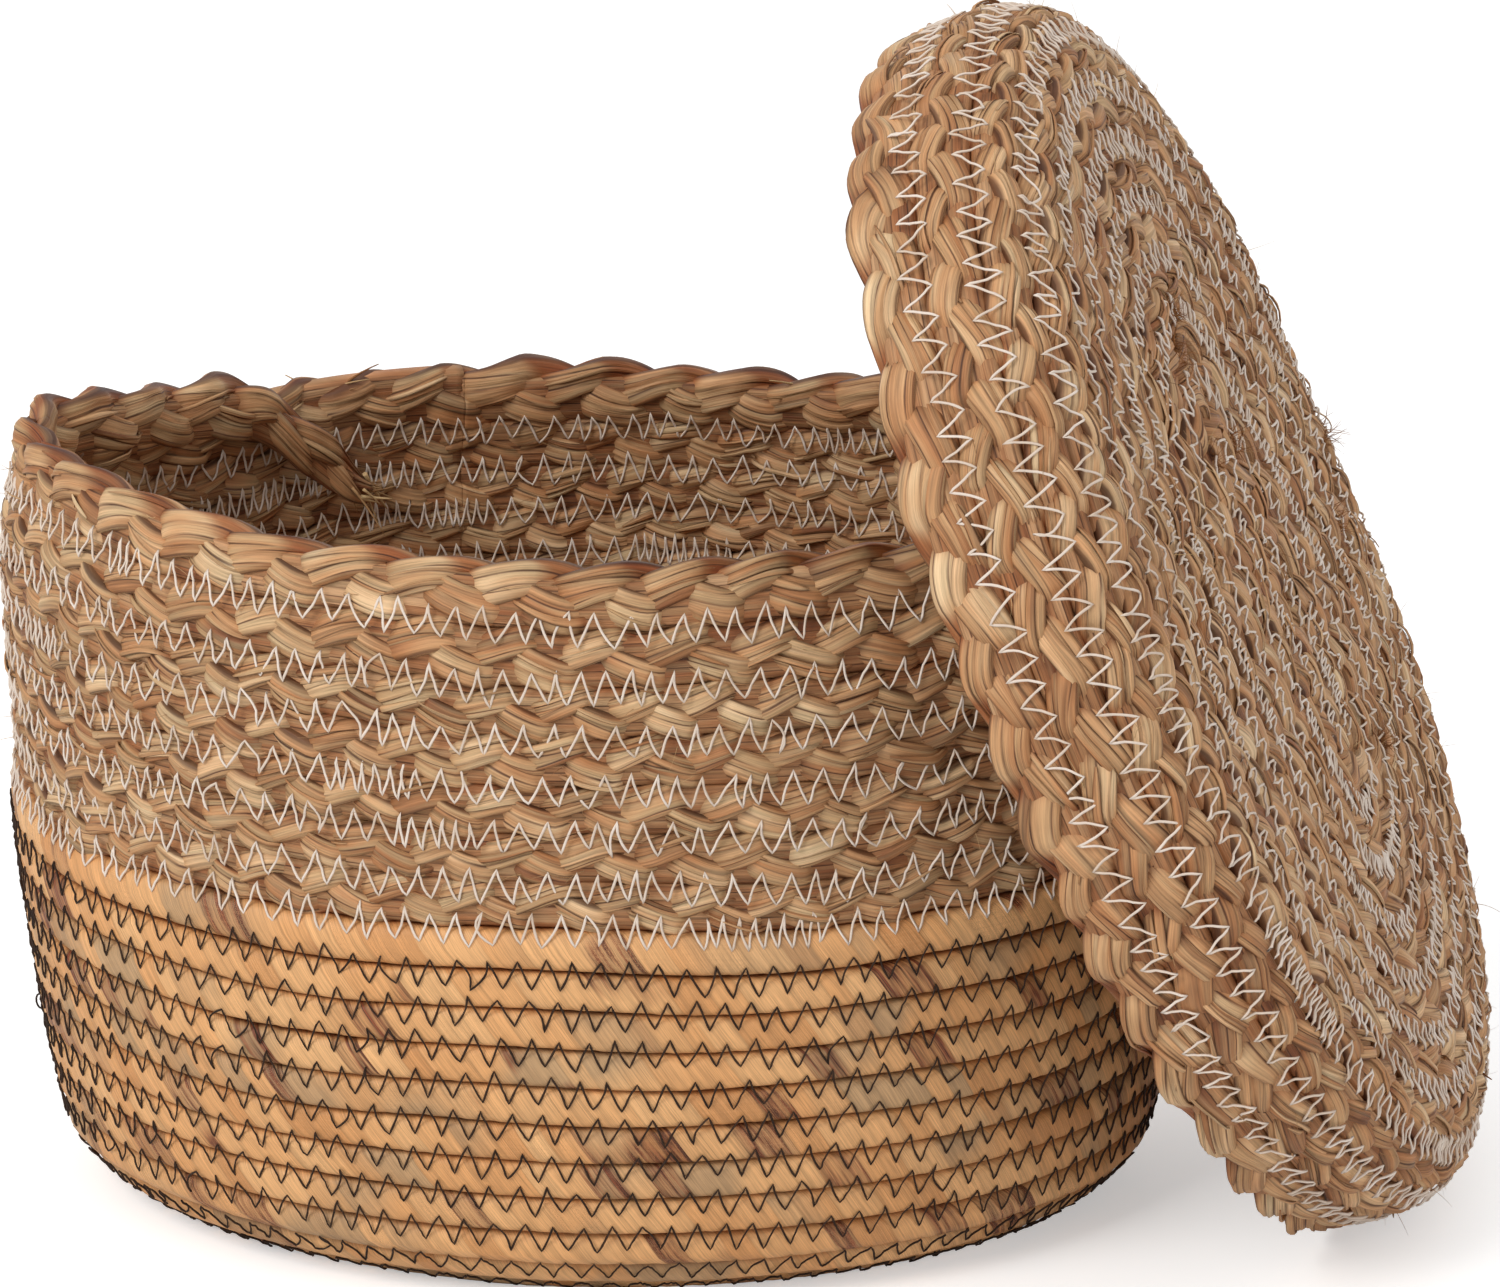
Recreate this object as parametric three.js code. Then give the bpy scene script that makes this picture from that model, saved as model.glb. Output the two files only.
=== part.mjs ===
// Oval storage basket with a plaited lid that leans on its right end.
// Millimetres, +Z up, +X to the basket's right end, origin on the floor under the basket's middle.
// The floor and lower wall are one leaf-wrapped rope wound in an oval spiral. The upper wall is one
// flat plait wound on top of it. Each turn of the wall is a piece of its own, and its ends meet the
// turns before and after it. The floor and the lid's top are each one unbroken spiral.
import * as THREE from "three";

// Plan of the basket, measured on the centre line of the rim plait
const RIM_HALF_LENGTH = 175;
const RIM_HALF_DEPTH = 123.5;
const BASKET_POWER = 1.9; // 2 draws an ellipse, less draws its shoulders in
const END_RISE = 14; // the rim stands this much higher at its two ends
const END_RISE_POWER = 4; // the rise comes mostly near the ends

// Leaf-wrapped rope of the floor and the lower wall
const ROPE_DIAMETER = 12.06;
const FLOOR_TURNS = 8;
const LEAF_TURNS = 9;
const HEEL_FIRST_RISE = 32; // degrees from the floor's last turn up to the heel
const HEEL_SECOND_RISE = 49; // degrees from the heel up to the first wall turn
const LEAF_FOOT_OFFSET = -8.2; // first wall turn, measured out from the rim's plan
const LEAF_TOP_OFFSET = 6.5; // last leaf turn, measured the same way
const LEAF_SWELL_POWER = 1.6;

// Plait of the upper wall
const PLAIT_TURNS = 6;
const PLAIT_PITCH = 15;
const PLAIT_THICKNESS = 11.5;
const PLAIT_FIRST_OFFSET = 4.6;
const PLAIT_OFFSET_STEP = 0.52; // each turn stands out this much more, before the draw-in
const PLAIT_DRAW_POWER = 8; // the draw-in comes late, in the last turn below the rim
const RIM_HEIGHT = 19.5;
const RIM_THICKNESS = 13;
const TAIL_DROP = 34; // the rim plait's end slopes down this much inside the wall

// Lid
const LID_POWER = 2.12;
const LID_TOP_TURNS = 7;
const LID_END_CLEARANCE = 6; // rim plait to the inside of the skirt, at the ends
const LID_SIDE_CLEARANCE = 9.5; // the same at the sides
const LID_PLAIT_THICKNESS = 12;
const LID_EDGE_HEIGHT = 19.5; // height of the skirt's free row
const LID_SKIRT_DEPTH = 43.4; // from the top face to the middle of the free row
const LID_UPPER_DEPTH = 24.4; // from the top face to the middle of the upper skirt row
const LID_SHOULDER_DEPTH = 11.7;
const LID_UPPER_OFFSET = 1.1; // measured out from the free row
const LID_SHOULDER_OFFSET = -4.5;
const LID_TOP_OFFSET = -16.25; // outermost turn of the top
const LID_TAIL_DROP = 14;

// How the lid leans
const LID_FACE_AZIMUTH = -12.9; // degrees, the way the top face looks, from +X
const LID_FACE_ELEVATION = 21.4; // degrees, how far the top face looks up
const LID_TWIST = -17.7; // degrees, the long axis turned in the plane of the face
const LID_SIDE_SHIFT = -28; // middle of the top face, towards the viewer

// Clearances
const JOINT_GAP = 0.3; // between pieces that touch
const TURN_GAP = 0.7; // between neighbouring turns of one unbroken spiral

// Winding
const STEPS = 28; // per turn
const CLIMB_STEPS = 4; // a turn rises to the next row over these last steps
const TUCK_STEPS = 2; // a tail moves inside over these steps before the climb
const TAIL_END_STEP = 27; // where the tail is cut off
const DIVE_STEPS = 2; // the tail slopes away over these steps, from half a step before its last one
const BASKET_START = 110; // degrees, where turns begin and end, at the back left
const LID_START = -120; // degrees, on the side of the lid that is turned away
const CORE_POWER = 4; // the innermost turns are straight runs with round ends
const FLAT_SHARE = 0.64; // part of a row's width that is flat inside and outside
const CORE_STEPS = 8; // along the straight core in the middle of a spiral
const CORE_END = 14; // degrees of the plan left free at each end of the core

const radians = THREE.MathUtils.degToRad;
const lerp = THREE.MathUtils.lerp;

// The oval grows by an offset that is the same at its ends and at its sides.
class Plan {
  constructor(halfLength, halfDepth, power, settledDepth) {
    this.core = halfLength - halfDepth;
    this.halfDepth = halfDepth;
    this.power = power;
    this.settledDepth = settledDepth;
  }

  point(offset, angle) {
    const depth = this.halfDepth + offset;
    const inner = Math.max(0, 1 - depth / this.settledDepth);
    const power = lerp(this.power, CORE_POWER, inner * inner);
    const along = signedPower(Math.cos(angle), 2 / power);
    const across = signedPower(Math.sin(angle), 2 / power);
    return { x: (depth + this.core) * along, y: depth * across, along };
  }
}

function signedPower(value, power) {
  return Math.sign(value) * Math.abs(value) ** power;
}

// A row is the place of one turn in the wall's profile: its offset from the plan and its height.
function row(offset, height, thickness) {
  return { offset, height, thickness };
}

function mixRows(a, b, share) {
  return row(
    lerp(a.offset, b.offset, share),
    lerp(a.height, b.height, share),
    lerp(a.thickness, b.thickness, share),
  );
}

// Share of the way up to the next row that a turn has climbed at a step.
function climbAt(step) {
  return THREE.MathUtils.smoothstep(step, STEPS - CLIMB_STEPS, STEPS);
}

// Six corners of a turn's section, in offset and height. Its two points meet the rows before and
// after it halfway, less half the gap, and its two flats face into and out of the basket.
function sectionCorners(before, here, after, gap) {
  const toBefore = { offset: (before.offset - here.offset) / 2, height: (before.height - here.height) / 2 };
  const toAfter = { offset: (after.offset - here.offset) / 2, height: (after.height - here.height) / 2 };
  const beforeLength = Math.hypot(toBefore.offset, toBefore.height);
  const afterLength = Math.hypot(toAfter.offset, toAfter.height);
  const runOffset = after.offset - before.offset;
  const runHeight = after.height - before.height;
  const runLength = Math.hypot(runOffset, runHeight);
  const run = { offset: runOffset / runLength, height: runHeight / runLength };
  const side = { offset: run.height, height: -run.offset };
  const half = here.thickness / 2;
  const flatBefore = -beforeLength * FLAT_SHARE;
  const flatAfter = afterLength * FLAT_SHARE;
  const place = (alongRun, out) => ({
    offset: here.offset + run.offset * alongRun + side.offset * out,
    height: here.height + run.height * alongRun + side.height * out,
  });
  const pointAt = (way, length) => ({
    offset: here.offset + way.offset * (1 - gap / 2 / length),
    height: here.height + way.height * (1 - gap / 2 / length),
  });
  return [
    pointAt(toBefore, beforeLength),
    place(flatBefore, half),
    place(flatAfter, half),
    pointAt(toAfter, afterLength),
    place(flatAfter, -half),
    place(flatBefore, -half),
  ];
}

// A wound wall: rows of one profile on one plan. The first and last rows only close the profile.
class Winding {
  constructor(plan, rows, startAngle, rise) {
    this.plan = plan;
    this.rows = rows;
    this.startAngle = startAngle;
    this.rise = rise;
  }

  place(corner, step) {
    const angle = this.startAngle - (2 * Math.PI * step) / STEPS;
    const spot = this.plan.point(corner.offset, angle);
    const lift = this.rise * corner.height * Math.abs(spot.along) ** END_RISE_POWER;
    return new THREE.Vector3(spot.x, spot.y, corner.height + lift);
  }

  section(turn, step, gap) {
    const share = climbAt(step);
    const at = (index) => mixRows(this.rows[index], this.rows[index + 1], share);
    const corners = sectionCorners(at(turn - 1), at(turn), at(turn + 1), gap);
    return corners.map((corner) => this.place(corner, step));
  }

  // The tapered beginning of a spiral. It keeps to the core on its inner side, and it widens as the
  // end of the first turn climbs away from the core. The rows there are one pitch apart.
  taperSections(gap) {
    const list = [];
    const [middle, first] = this.rows;
    for (let step = STEPS - CLIMB_STEPS + 1; step < STEPS; step++) {
      const share = climbAt(step);
      const at = (shift) => mixRows(middle, first, 0.5 + share * (0.5 + shift));
      const corners = sectionCorners(at(-1), at(0), at(1), gap);
      list.push(corners.map((corner) => this.place(corner, step)));
    }
    return list;
  }

  // Sections of the turns from one row to another, from a first step to a last one.
  sections(firstTurn, firstStep, lastTurn, lastStep, gap) {
    const list = [];
    for (let turn = firstTurn; turn <= lastTurn; turn++) {
      const from = turn === firstTurn ? firstStep : 1;
      const to = turn === lastTurn ? lastStep : STEPS;
      for (let step = from; step <= to; step++) list.push(this.section(turn, step, gap));
    }
    return list;
  }

  // The tail leaves its row, moves inside over the first steps and then slopes away.
  tailSections(turn, drop, inward) {
    const list = [];
    const home = this.rows[turn];
    const first = STEPS - CLIMB_STEPS - TUCK_STEPS;
    const diveFrom = TAIL_END_STEP + 0.5 - DIVE_STEPS;
    for (let step = first; step <= TAIL_END_STEP; step++) {
      const tucked = THREE.MathUtils.smoothstep(step, first, first + TUCK_STEPS);
      const dropped = THREE.MathUtils.smoothstep(step, diveFrom, diveFrom + DIVE_STEPS);
      const shift = (index) => {
        const base = this.rows[index];
        return row(base.offset + inward * tucked, base.height + drop * dropped, home.thickness);
      };
      const corners = sectionCorners(shift(turn - 1), shift(turn), shift(turn + 1), JOINT_GAP);
      list.push(corners.map((corner) => this.place(corner, step)));
    }
    return list;
  }
}

function mixSections(a, b, share) {
  return a.map((corner, index) => corner.clone().lerp(b[index], share));
}

// Cuts half a gap off both ends, along the chord, so that neighbouring turns keep clear.
function trimEnds(sections) {
  const list = [...sections];
  const last = list.length - 1;
  const cut = (from, to) => JOINT_GAP / 2 / from[1].distanceTo(to[1]);
  list[0] = mixSections(sections[0], sections[1], cut(sections[0], sections[1]));
  list[last] = mixSections(sections[last], sections[last - 1], cut(sections[last], sections[last - 1]));
  return list;
}

function signedVolume(points, triangles) {
  let total = 0;
  const cross = new THREE.Vector3();
  for (let i = 0; i < triangles.length; i += 3) {
    cross.crossVectors(points[triangles[i + 1]], points[triangles[i + 2]]);
    total += points[triangles[i]].dot(cross);
  }
  return total;
}

// A closed tube through the sections, with flat ends.
function tube(sections) {
  const sides = sections[0].length;
  const points = sections.flat();
  const triangles = [];
  for (let i = 0; i + 1 < sections.length; i++) {
    for (let j = 0; j < sides; j++) {
      const a = i * sides + j;
      const b = i * sides + ((j + 1) % sides);
      triangles.push(a, b, b + sides, a, b + sides, a + sides);
    }
  }
  const last = (sections.length - 1) * sides;
  for (let j = 1; j + 1 < sides; j++) {
    triangles.push(0, j + 1, j);
    triangles.push(last, last + j, last + j + 1);
  }
  if (signedVolume(points, triangles) < 0) triangles.reverse();
  const geometry = new THREE.BufferGeometry().setFromPoints(points);
  geometry.setIndex(triangles);
  geometry.computeVertexNormals();
  return geometry;
}

// Least distance between points of different turns of one spiral.
function leastGap(sections) {
  let least = Infinity;
  for (let i = 0; i < sections.length; i++) {
    for (let k = i + CLIMB_STEPS; k < sections.length; k++) {
      for (const a of sections[i]) {
        for (const b of sections[k]) least = Math.min(least, a.distanceTo(b));
      }
    }
  }
  return least;
}

// The straight core of a spiral, which fills the middle of its first turn.
function coreSections(plan, firstTurn) {
  const halfWidth = (plan.halfDepth + firstTurn.offset - TURN_GAP) / 2;
  const half = firstTurn.thickness / 2;
  const list = [];
  for (let step = 0; step <= CORE_STEPS; step++) {
    const angle = lerp(Math.PI - radians(CORE_END), radians(CORE_END), step / CORE_STEPS);
    const spot = plan.point(halfWidth - plan.halfDepth, angle);
    const corner = (across, up) => new THREE.Vector3(spot.x, spot.y * across, firstTurn.height + up);
    list.push([
      corner(-1, 0),
      corner(-FLAT_SHARE, -half),
      corner(FLAT_SHARE, -half),
      corner(1, 0),
      corner(FLAT_SHARE, half),
      corner(-FLAT_SHARE, half),
    ]);
  }
  return list;
}

function mesh(name, sections, material) {
  const made = new THREE.Mesh(tube(sections), material);
  made.name = name;
  return made;
}

// Rows of the basket's profile, from the middle of the floor to the rim.
function basketRows() {
  const firstRise = radians(HEEL_FIRST_RISE);
  const secondRise = radians(HEEL_SECOND_RISE);
  const heelOffset = LEAF_FOOT_OFFSET - ROPE_DIAMETER * Math.cos(secondRise);
  const floorOffset = heelOffset - ROPE_DIAMETER * Math.cos(firstRise);
  const floorHeight = ROPE_DIAMETER / 2;
  const heelHeight = floorHeight + ROPE_DIAMETER * Math.sin(firstRise);
  const footHeight = heelHeight + ROPE_DIAMETER * Math.sin(secondRise);
  const floorPitch = (RIM_HALF_DEPTH + floorOffset) / FLOOR_TURNS;
  const rows = [];
  for (let i = -1; i < FLOOR_TURNS; i++) {
    rows.push(row(floorOffset - floorPitch * (FLOOR_TURNS - 1 - i), floorHeight, ROPE_DIAMETER));
  }
  rows.push(row(heelOffset, heelHeight, ROPE_DIAMETER));
  for (let i = 0; i < LEAF_TURNS; i++) {
    const left = (1 - i / (LEAF_TURNS - 1)) ** LEAF_SWELL_POWER;
    const offset = lerp(LEAF_TOP_OFFSET, LEAF_FOOT_OFFSET, left);
    rows.push(row(offset, footHeight + ROPE_DIAMETER * i, ROPE_DIAMETER));
  }
  const plaitFoot = footHeight + ROPE_DIAMETER * (LEAF_TURNS - 0.5);
  const fullOffset = PLAIT_FIRST_OFFSET + PLAIT_OFFSET_STEP * PLAIT_TURNS;
  for (let i = 0; i < PLAIT_TURNS; i++) {
    const drawn = fullOffset * ((i + 1) / (PLAIT_TURNS + 1)) ** PLAIT_DRAW_POWER;
    const offset = PLAIT_FIRST_OFFSET + PLAIT_OFFSET_STEP * i - drawn;
    rows.push(row(offset, plaitFoot + PLAIT_PITCH * (i + 0.5), PLAIT_THICKNESS));
  }
  const rimHeight = plaitFoot + PLAIT_PITCH * PLAIT_TURNS + RIM_HEIGHT / 2;
  rows.push(row(0, rimHeight, RIM_THICKNESS));
  rows.push(row(0, rimHeight + RIM_HEIGHT, RIM_THICKNESS));
  rows.push(row(0, rimHeight + 2 * RIM_HEIGHT, RIM_THICKNESS));
  return rows;
}

// Rows of the lid's profile, from the middle of its top to the skirt's free edge. Heights are
// measured up from the top face, so those of the skirt are negative.
function lidRows(plan) {
  const topHeight = -LID_PLAIT_THICKNESS / 2;
  const pitch = (plan.halfDepth + LID_TOP_OFFSET) / LID_TOP_TURNS;
  const rows = [];
  for (let i = -1; i < LID_TOP_TURNS; i++) {
    const offset = LID_TOP_OFFSET - pitch * (LID_TOP_TURNS - 1 - i);
    rows.push(row(offset, topHeight, LID_PLAIT_THICKNESS));
  }
  rows.push(row(LID_SHOULDER_OFFSET, -LID_SHOULDER_DEPTH, LID_PLAIT_THICKNESS));
  rows.push(row(LID_UPPER_OFFSET, -LID_UPPER_DEPTH, LID_PLAIT_THICKNESS));
  rows.push(row(0, -LID_SKIRT_DEPTH, LID_PLAIT_THICKNESS));
  rows.push(row(0, -LID_SKIRT_DEPTH - LID_EDGE_HEIGHT, LID_PLAIT_THICKNESS));
  rows.push(row(0, -LID_SKIRT_DEPTH - 2 * LID_EDGE_HEIGHT, LID_PLAIT_THICKNESS));
  return rows;
}

const leafMaterial = new THREE.MeshStandardMaterial({ color: 0xcb9b58, roughness: 0.72, metalness: 0 });
const plaitMaterial = new THREE.MeshStandardMaterial({ color: 0xa98352, roughness: 0.8, metalness: 0 });
const lidMaterial = new THREE.MeshStandardMaterial({ color: 0xb18a58, roughness: 0.8, metalness: 0 });

function buildBasket() {
  const group = new THREE.Group();
  const settled = RIM_HALF_DEPTH + LEAF_FOOT_OFFSET - 2 * ROPE_DIAMETER;
  const plan = new Plan(RIM_HALF_LENGTH, RIM_HALF_DEPTH, BASKET_POWER, settled);
  const rows = basketRows();
  const rimTop = rows[rows.length - 3].height + RIM_HEIGHT / 2;
  const winding = new Winding(plan, rows, radians(BASKET_START), END_RISE / rimTop);
  const floor = winding.taperSections(TURN_GAP);
  floor.push(...winding.sections(1, 0, FLOOR_TURNS, STEPS, TURN_GAP));
  console.log("floor_coil least gap between turns, mm: " + leastGap(floor).toFixed(2));
  group.add(mesh("floor_core", coreSections(plan, rows[1]), leafMaterial));
  group.add(mesh("floor_coil", trimEnds(floor), leafMaterial));
  const wallTurn = (name, turn, lastStep, material) => {
    const sections = winding.sections(turn, 0, turn, lastStep, JOINT_GAP);
    group.add(mesh(name, trimEnds(sections), material));
  };
  const heel = FLOOR_TURNS + 1;
  wallTurn("heel_course", heel, STEPS, leafMaterial);
  for (let i = 1; i <= LEAF_TURNS; i++) wallTurn("leaf_course_" + i, heel + i, STEPS, leafMaterial);
  const lastLeaf = heel + LEAF_TURNS;
  for (let i = 1; i <= PLAIT_TURNS; i++) {
    wallTurn("plait_course_" + i, lastLeaf + i, STEPS, plaitMaterial);
  }
  const rim = lastLeaf + PLAIT_TURNS + 1;
  wallTurn("rim_plait", rim, STEPS - CLIMB_STEPS - TUCK_STEPS, plaitMaterial);
  const tail = winding.tailSections(rim, -TAIL_DROP, -RIM_THICKNESS - JOINT_GAP);
  group.add(mesh("rim_plait_tail", trimEnds(tail), plaitMaterial));
  return group;
}

function buildLid() {
  const group = new THREE.Group();
  const reach = RIM_THICKNESS / 2 + LID_PLAIT_THICKNESS / 2;
  const halfLength = RIM_HALF_LENGTH + reach + LID_END_CLEARANCE;
  const halfDepth = RIM_HALF_DEPTH + reach + LID_SIDE_CLEARANCE;
  const plan = new Plan(halfLength, halfDepth, LID_POWER, halfDepth + LID_TOP_OFFSET);
  const rows = lidRows(plan);
  const winding = new Winding(plan, rows, radians(LID_START), 0);
  const top = winding.taperSections(TURN_GAP);
  top.push(...winding.sections(1, 0, LID_TOP_TURNS, STEPS, TURN_GAP));
  console.log("lid_top_coil least gap between turns, mm: " + leastGap(top).toFixed(2));
  group.add(mesh("lid_top_core", coreSections(plan, rows[1]), lidMaterial));
  group.add(mesh("lid_top_coil", trimEnds(top), lidMaterial));
  const skirtTurn = (name, turn, lastStep) => {
    const sections = winding.sections(turn, 0, turn, lastStep, JOINT_GAP);
    group.add(mesh(name, trimEnds(sections), lidMaterial));
  };
  const edge = LID_TOP_TURNS + 3;
  skirtTurn("lid_shoulder_plait", edge - 2, STEPS);
  skirtTurn("lid_skirt_plait_upper", edge - 1, STEPS);
  skirtTurn("lid_skirt_plait_lower", edge, STEPS - CLIMB_STEPS - TUCK_STEPS);
  const tail = winding.tailSections(edge, LID_TAIL_DROP, -LID_PLAIT_THICKNESS - JOINT_GAP);
  group.add(mesh("lid_plait_tail", trimEnds(tail), lidMaterial));
  return group;
}

// The least or greatest distance of a group's corners along a direction.
function reachAlong(group, direction, pick) {
  const point = new THREE.Vector3();
  let found = null;
  group.updateMatrixWorld(true);
  group.traverse((part) => {
    if (!part.isMesh) return;
    const corners = part.geometry.getAttribute("position");
    for (let i = 0; i < corners.count; i++) {
      const reach = point.fromBufferAttribute(corners, i).applyMatrix4(part.matrixWorld).dot(direction);
      found = found === null ? reach : pick(found, reach);
    }
  });
  return found;
}

// The lid stands on the floor and its underside rests on the basket's right end.
function leanLid(lid, basket) {
  const azimuth = radians(LID_FACE_AZIMUTH);
  const elevation = radians(LID_FACE_ELEVATION);
  const twist = radians(LID_TWIST);
  const face = new THREE.Vector3(
    Math.cos(azimuth) * Math.cos(elevation),
    Math.sin(azimuth) * Math.cos(elevation),
    Math.sin(elevation),
  );
  const level = new THREE.Vector3(-Math.sin(azimuth), Math.cos(azimuth), 0);
  const up = new THREE.Vector3().crossVectors(face, level);
  const long = up.multiplyScalar(Math.cos(twist)).addScaledVector(level, Math.sin(twist));
  const short = new THREE.Vector3().crossVectors(face, long);
  lid.setRotationFromMatrix(new THREE.Matrix4().makeBasis(long, short, face));
  const lowest = reachAlong(lid, new THREE.Vector3(0, 0, 1), Math.min);
  lid.position.set(0, LID_SIDE_SHIFT, JOINT_GAP - lowest);
  const rimReach = reachAlong(basket, face, Math.max);
  const seat = rimReach + LID_PLAIT_THICKNESS + JOINT_GAP;
  lid.position.x = (seat - lid.position.dot(face)) / face.x;
}

const group = new THREE.Group();
const basket = buildBasket();
const lid = buildLid();
leanLid(lid, basket);
console.log("lid position, mm: " + lid.position.toArray().map((v) => v.toFixed(2)).join(", "));
group.add(basket, lid);

export default group;
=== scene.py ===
"""Dresses the storage basket: plaited fibre, leaf-wrapped rope, sewing thread and stray straw.

Lengths inside the classes are millimetres, as in the solids, and become metres when a mesh is made.
A row is described along its own rope: s runs along it, v across it, up the wall, and w out of it.
"""

import logging
import math
from dataclasses import dataclass
from enum import Enum, IntEnum
from functools import cached_property
from typing import Optional, Sequence, Union

import bpy
import numpy as np
from mathutils import Matrix, Vector


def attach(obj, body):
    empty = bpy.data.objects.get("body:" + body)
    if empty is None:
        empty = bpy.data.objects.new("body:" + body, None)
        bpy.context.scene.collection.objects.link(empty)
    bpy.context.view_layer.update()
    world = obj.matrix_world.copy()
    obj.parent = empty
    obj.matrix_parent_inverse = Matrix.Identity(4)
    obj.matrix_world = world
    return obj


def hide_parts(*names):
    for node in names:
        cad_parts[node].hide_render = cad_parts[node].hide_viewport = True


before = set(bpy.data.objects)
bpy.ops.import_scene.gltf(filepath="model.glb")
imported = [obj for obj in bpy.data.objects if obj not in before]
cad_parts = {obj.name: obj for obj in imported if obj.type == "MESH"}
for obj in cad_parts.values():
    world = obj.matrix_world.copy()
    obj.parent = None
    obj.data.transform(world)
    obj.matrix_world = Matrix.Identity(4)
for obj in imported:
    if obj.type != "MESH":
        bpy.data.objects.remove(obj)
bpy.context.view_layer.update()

Array = np.ndarray
Node = bpy.types.Node
Socket = bpy.types.NodeSocket
Value = Union[float, Sequence[float], Socket]
Inputs = dict[Union[str, int], Value]
Pair = tuple[float, float]
Row = tuple[float, float, float]
Colour = tuple[float, float, float, float]
LOG = logging.getLogger("storage_basket")

MM = 0.001
STEPS = 28  # steps of the solids in one turn
CLIMB_STEPS = 4  # a turn rises to the next row over these last steps
TUCK_STEPS = 2  # a tail moves inside over these steps before the climb
TAIL_STEP = STEPS - CLIMB_STEPS - TUCK_STEPS  # step of the last turn where its tail begins
TAIL_END_STEP = 27
DIVE_STEPS = 2  # a tail slopes away over these steps
TAPER_START = STEPS - CLIMB_STEPS + 1  # mark where the tapered beginning of a spiral starts
MARK_SPACING = 0.1  # steps between the places where a winding is measured
ROWS_BEYOND = 2  # rows listed past a winding's last one, which only give that one its direction
EVEN_HEIGHT = 16.0  # rows higher than this are plaited a little tighter for their height, others looser
END_RISE_POWER = 4
LEAN_WAVES = ((3.0, 0.011, 1.0, 0.0), (5.0, -0.02, 0.8, 2.0))  # out and in, a row for each wave of waves()
RISE_WAVES = ((4.0, 0.021, 1.0, 0.0), (9.0, -0.034, 0.7, 1.0))  # up and down
ROPE_SQUARENESS = 4.2  # 2 for a round rope, more for one that is pressed flat
STRIP_WIDTH = 10.5  # width of the rope's leaf strips, along the rope
STRIP_SLOPE = 0.62  # how far a strip runs along while it goes one length around
PLAIT_FALL = 0.16  # how much lower a plait is at its seams, of its half thickness
PLAIT_FALL_POWER = 2.8
STRAND_SQUARENESS = 5.0
LEAVES_ON_A_FACE = 4  # leaves side by side on each face of a strand
LEAF_MIDDLE = 0.5
LEAF_PLACES = (0.06, LEAF_MIDDLE, 0.94)  # where a leaf has points, from one of its edges to the other
CORE_KEY = 5.0
BLADE_ACROSS = np.array([-1.0, -0.45, 0.45, 1.0, 0.45, -0.45])  # section of a loose blade
BLADE_CROWN = np.array([0.0, 0.34, 0.34, 0.0, -0.08, -0.08])
FRAY_SPREAD = 2.5  # how far apart the fibres of a frayed end have their roots
SPARE_KNOTS = 16  # drifting values before a rope's place 0, for the tapered beginnings
SEAM_STREAMS = 40  # random streams kept for each seam
WHITE: Colour = (1.0, 1.0, 1.0, 1.0)
MIX_SHARE, MIX_FIRST, MIX_SECOND, MIX_RESULT = 0, 6, 7, 2  # a Mix node's sockets when it mixes colours


class Body(Enum):
    """The bodies that move apart."""

    BASKET = "basket"
    LID = "lid"


class Face(Enum):
    """The two faces of a wall."""

    OUTER = 1
    INNER = -1


class Slot(Enum):
    """The record's material slots."""

    LEAF_ROPE = "leaf_rope"
    BASKET_PLAIT = "basket_plait"
    LID_PLAIT = "lid_plait"


class Seed(IntEnum):
    """First numbers of the random streams, which make every run the same."""

    BASKET_THREAD = 2
    LOOSE_END = 12
    FLOOR_CORE_THREAD = 30
    LID_TUFT = 31
    RIM_FRAY = 77
    ROPE = 300
    LID_FIBRE = 700
    BASKET_FIBRE = 900
    LID_CORE_THREAD = 2900
    LID_THREAD = 3000
    BASKET_PLAIT = 5000
    LID_PLAIT = 8000


class RowShape(Enum):
    """How a row bulges between its two seams."""

    PLAIT = "plait"
    ROPE = "rope"

    @property
    def bridge(self) -> float:
        """Height of a taut thread over the seam, of the row's half thickness."""
        return 0.78 if self is RowShape.PLAIT else 0.93

    def bulge(self, share: Array) -> Array:
        """Height of the surface.

        Args:
            share: distance from the row's middle, from 0 to 1 at the seam.

        Returns:
            The height, from 0 to 1 at the row's middle.
        """
        share = np.clip(share, 0.0, 1.0)
        if self is RowShape.PLAIT:
            return 1.0 - PLAIT_FALL * share**PLAIT_FALL_POWER
        return (1.0 - share**ROPE_SQUARENESS) ** (1.0 / ROPE_SQUARENESS)


def smoothstep(value: Array, low: float, high: float) -> Array:
    """Eased share of the way from low to high."""
    share = np.clip((value - low) / (high - low), 0.0, 1.0)
    return share * share * (3.0 - 2.0 * share)


def signed_power(value: Array, power: Array) -> Array:
    """A power that keeps the sign of its base."""
    return np.sign(value) * np.abs(value) ** power


def soft_limit(value: Array, limit: Array, ease: float) -> Array:
    """Presses values down to a limit with an eased bend, and keeps their sign."""
    size = np.abs(value)
    return np.sign(value) * (size - ease * np.logaddexp(0.0, (size - limit) / ease))


def wander(seed: int, s: Array, reach: float, columns: int = 1) -> Array:
    """Random values that drift smoothly along a rope.

    Args:
        seed: number of the random stream.
        s: places along the rope, n of them.
        reach: length over which the values change.
        columns: how many separate values each place has.

    Returns:
        An n x columns array with a spread of about 1.
    """
    place = s / reach + SPARE_KNOTS
    low = np.floor(place).astype(int)
    knots = np.random.default_rng(seed).normal(size=(int(low.max()) + 2, columns))
    share = place - low
    share = (share * share * (3.0 - 2.0 * share))[:, None]
    return knots[low] * (1.0 - share) + knots[low + 1] * share


def waves(angle: Array, height: Array, table: Sequence[tuple[float, ...]]) -> Array:
    """Sum of waves that run round a winding.

    Args:
        angle: radians round the oval.
        height: height in the winding's own frame.
        table: times a turn, change with the height, share and phase of each wave.

    Returns:
        The sum at each place.
    """
    return sum(share * np.sin(times * angle + slope * height + phase) for times, slope, share, phase in table)


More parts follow.
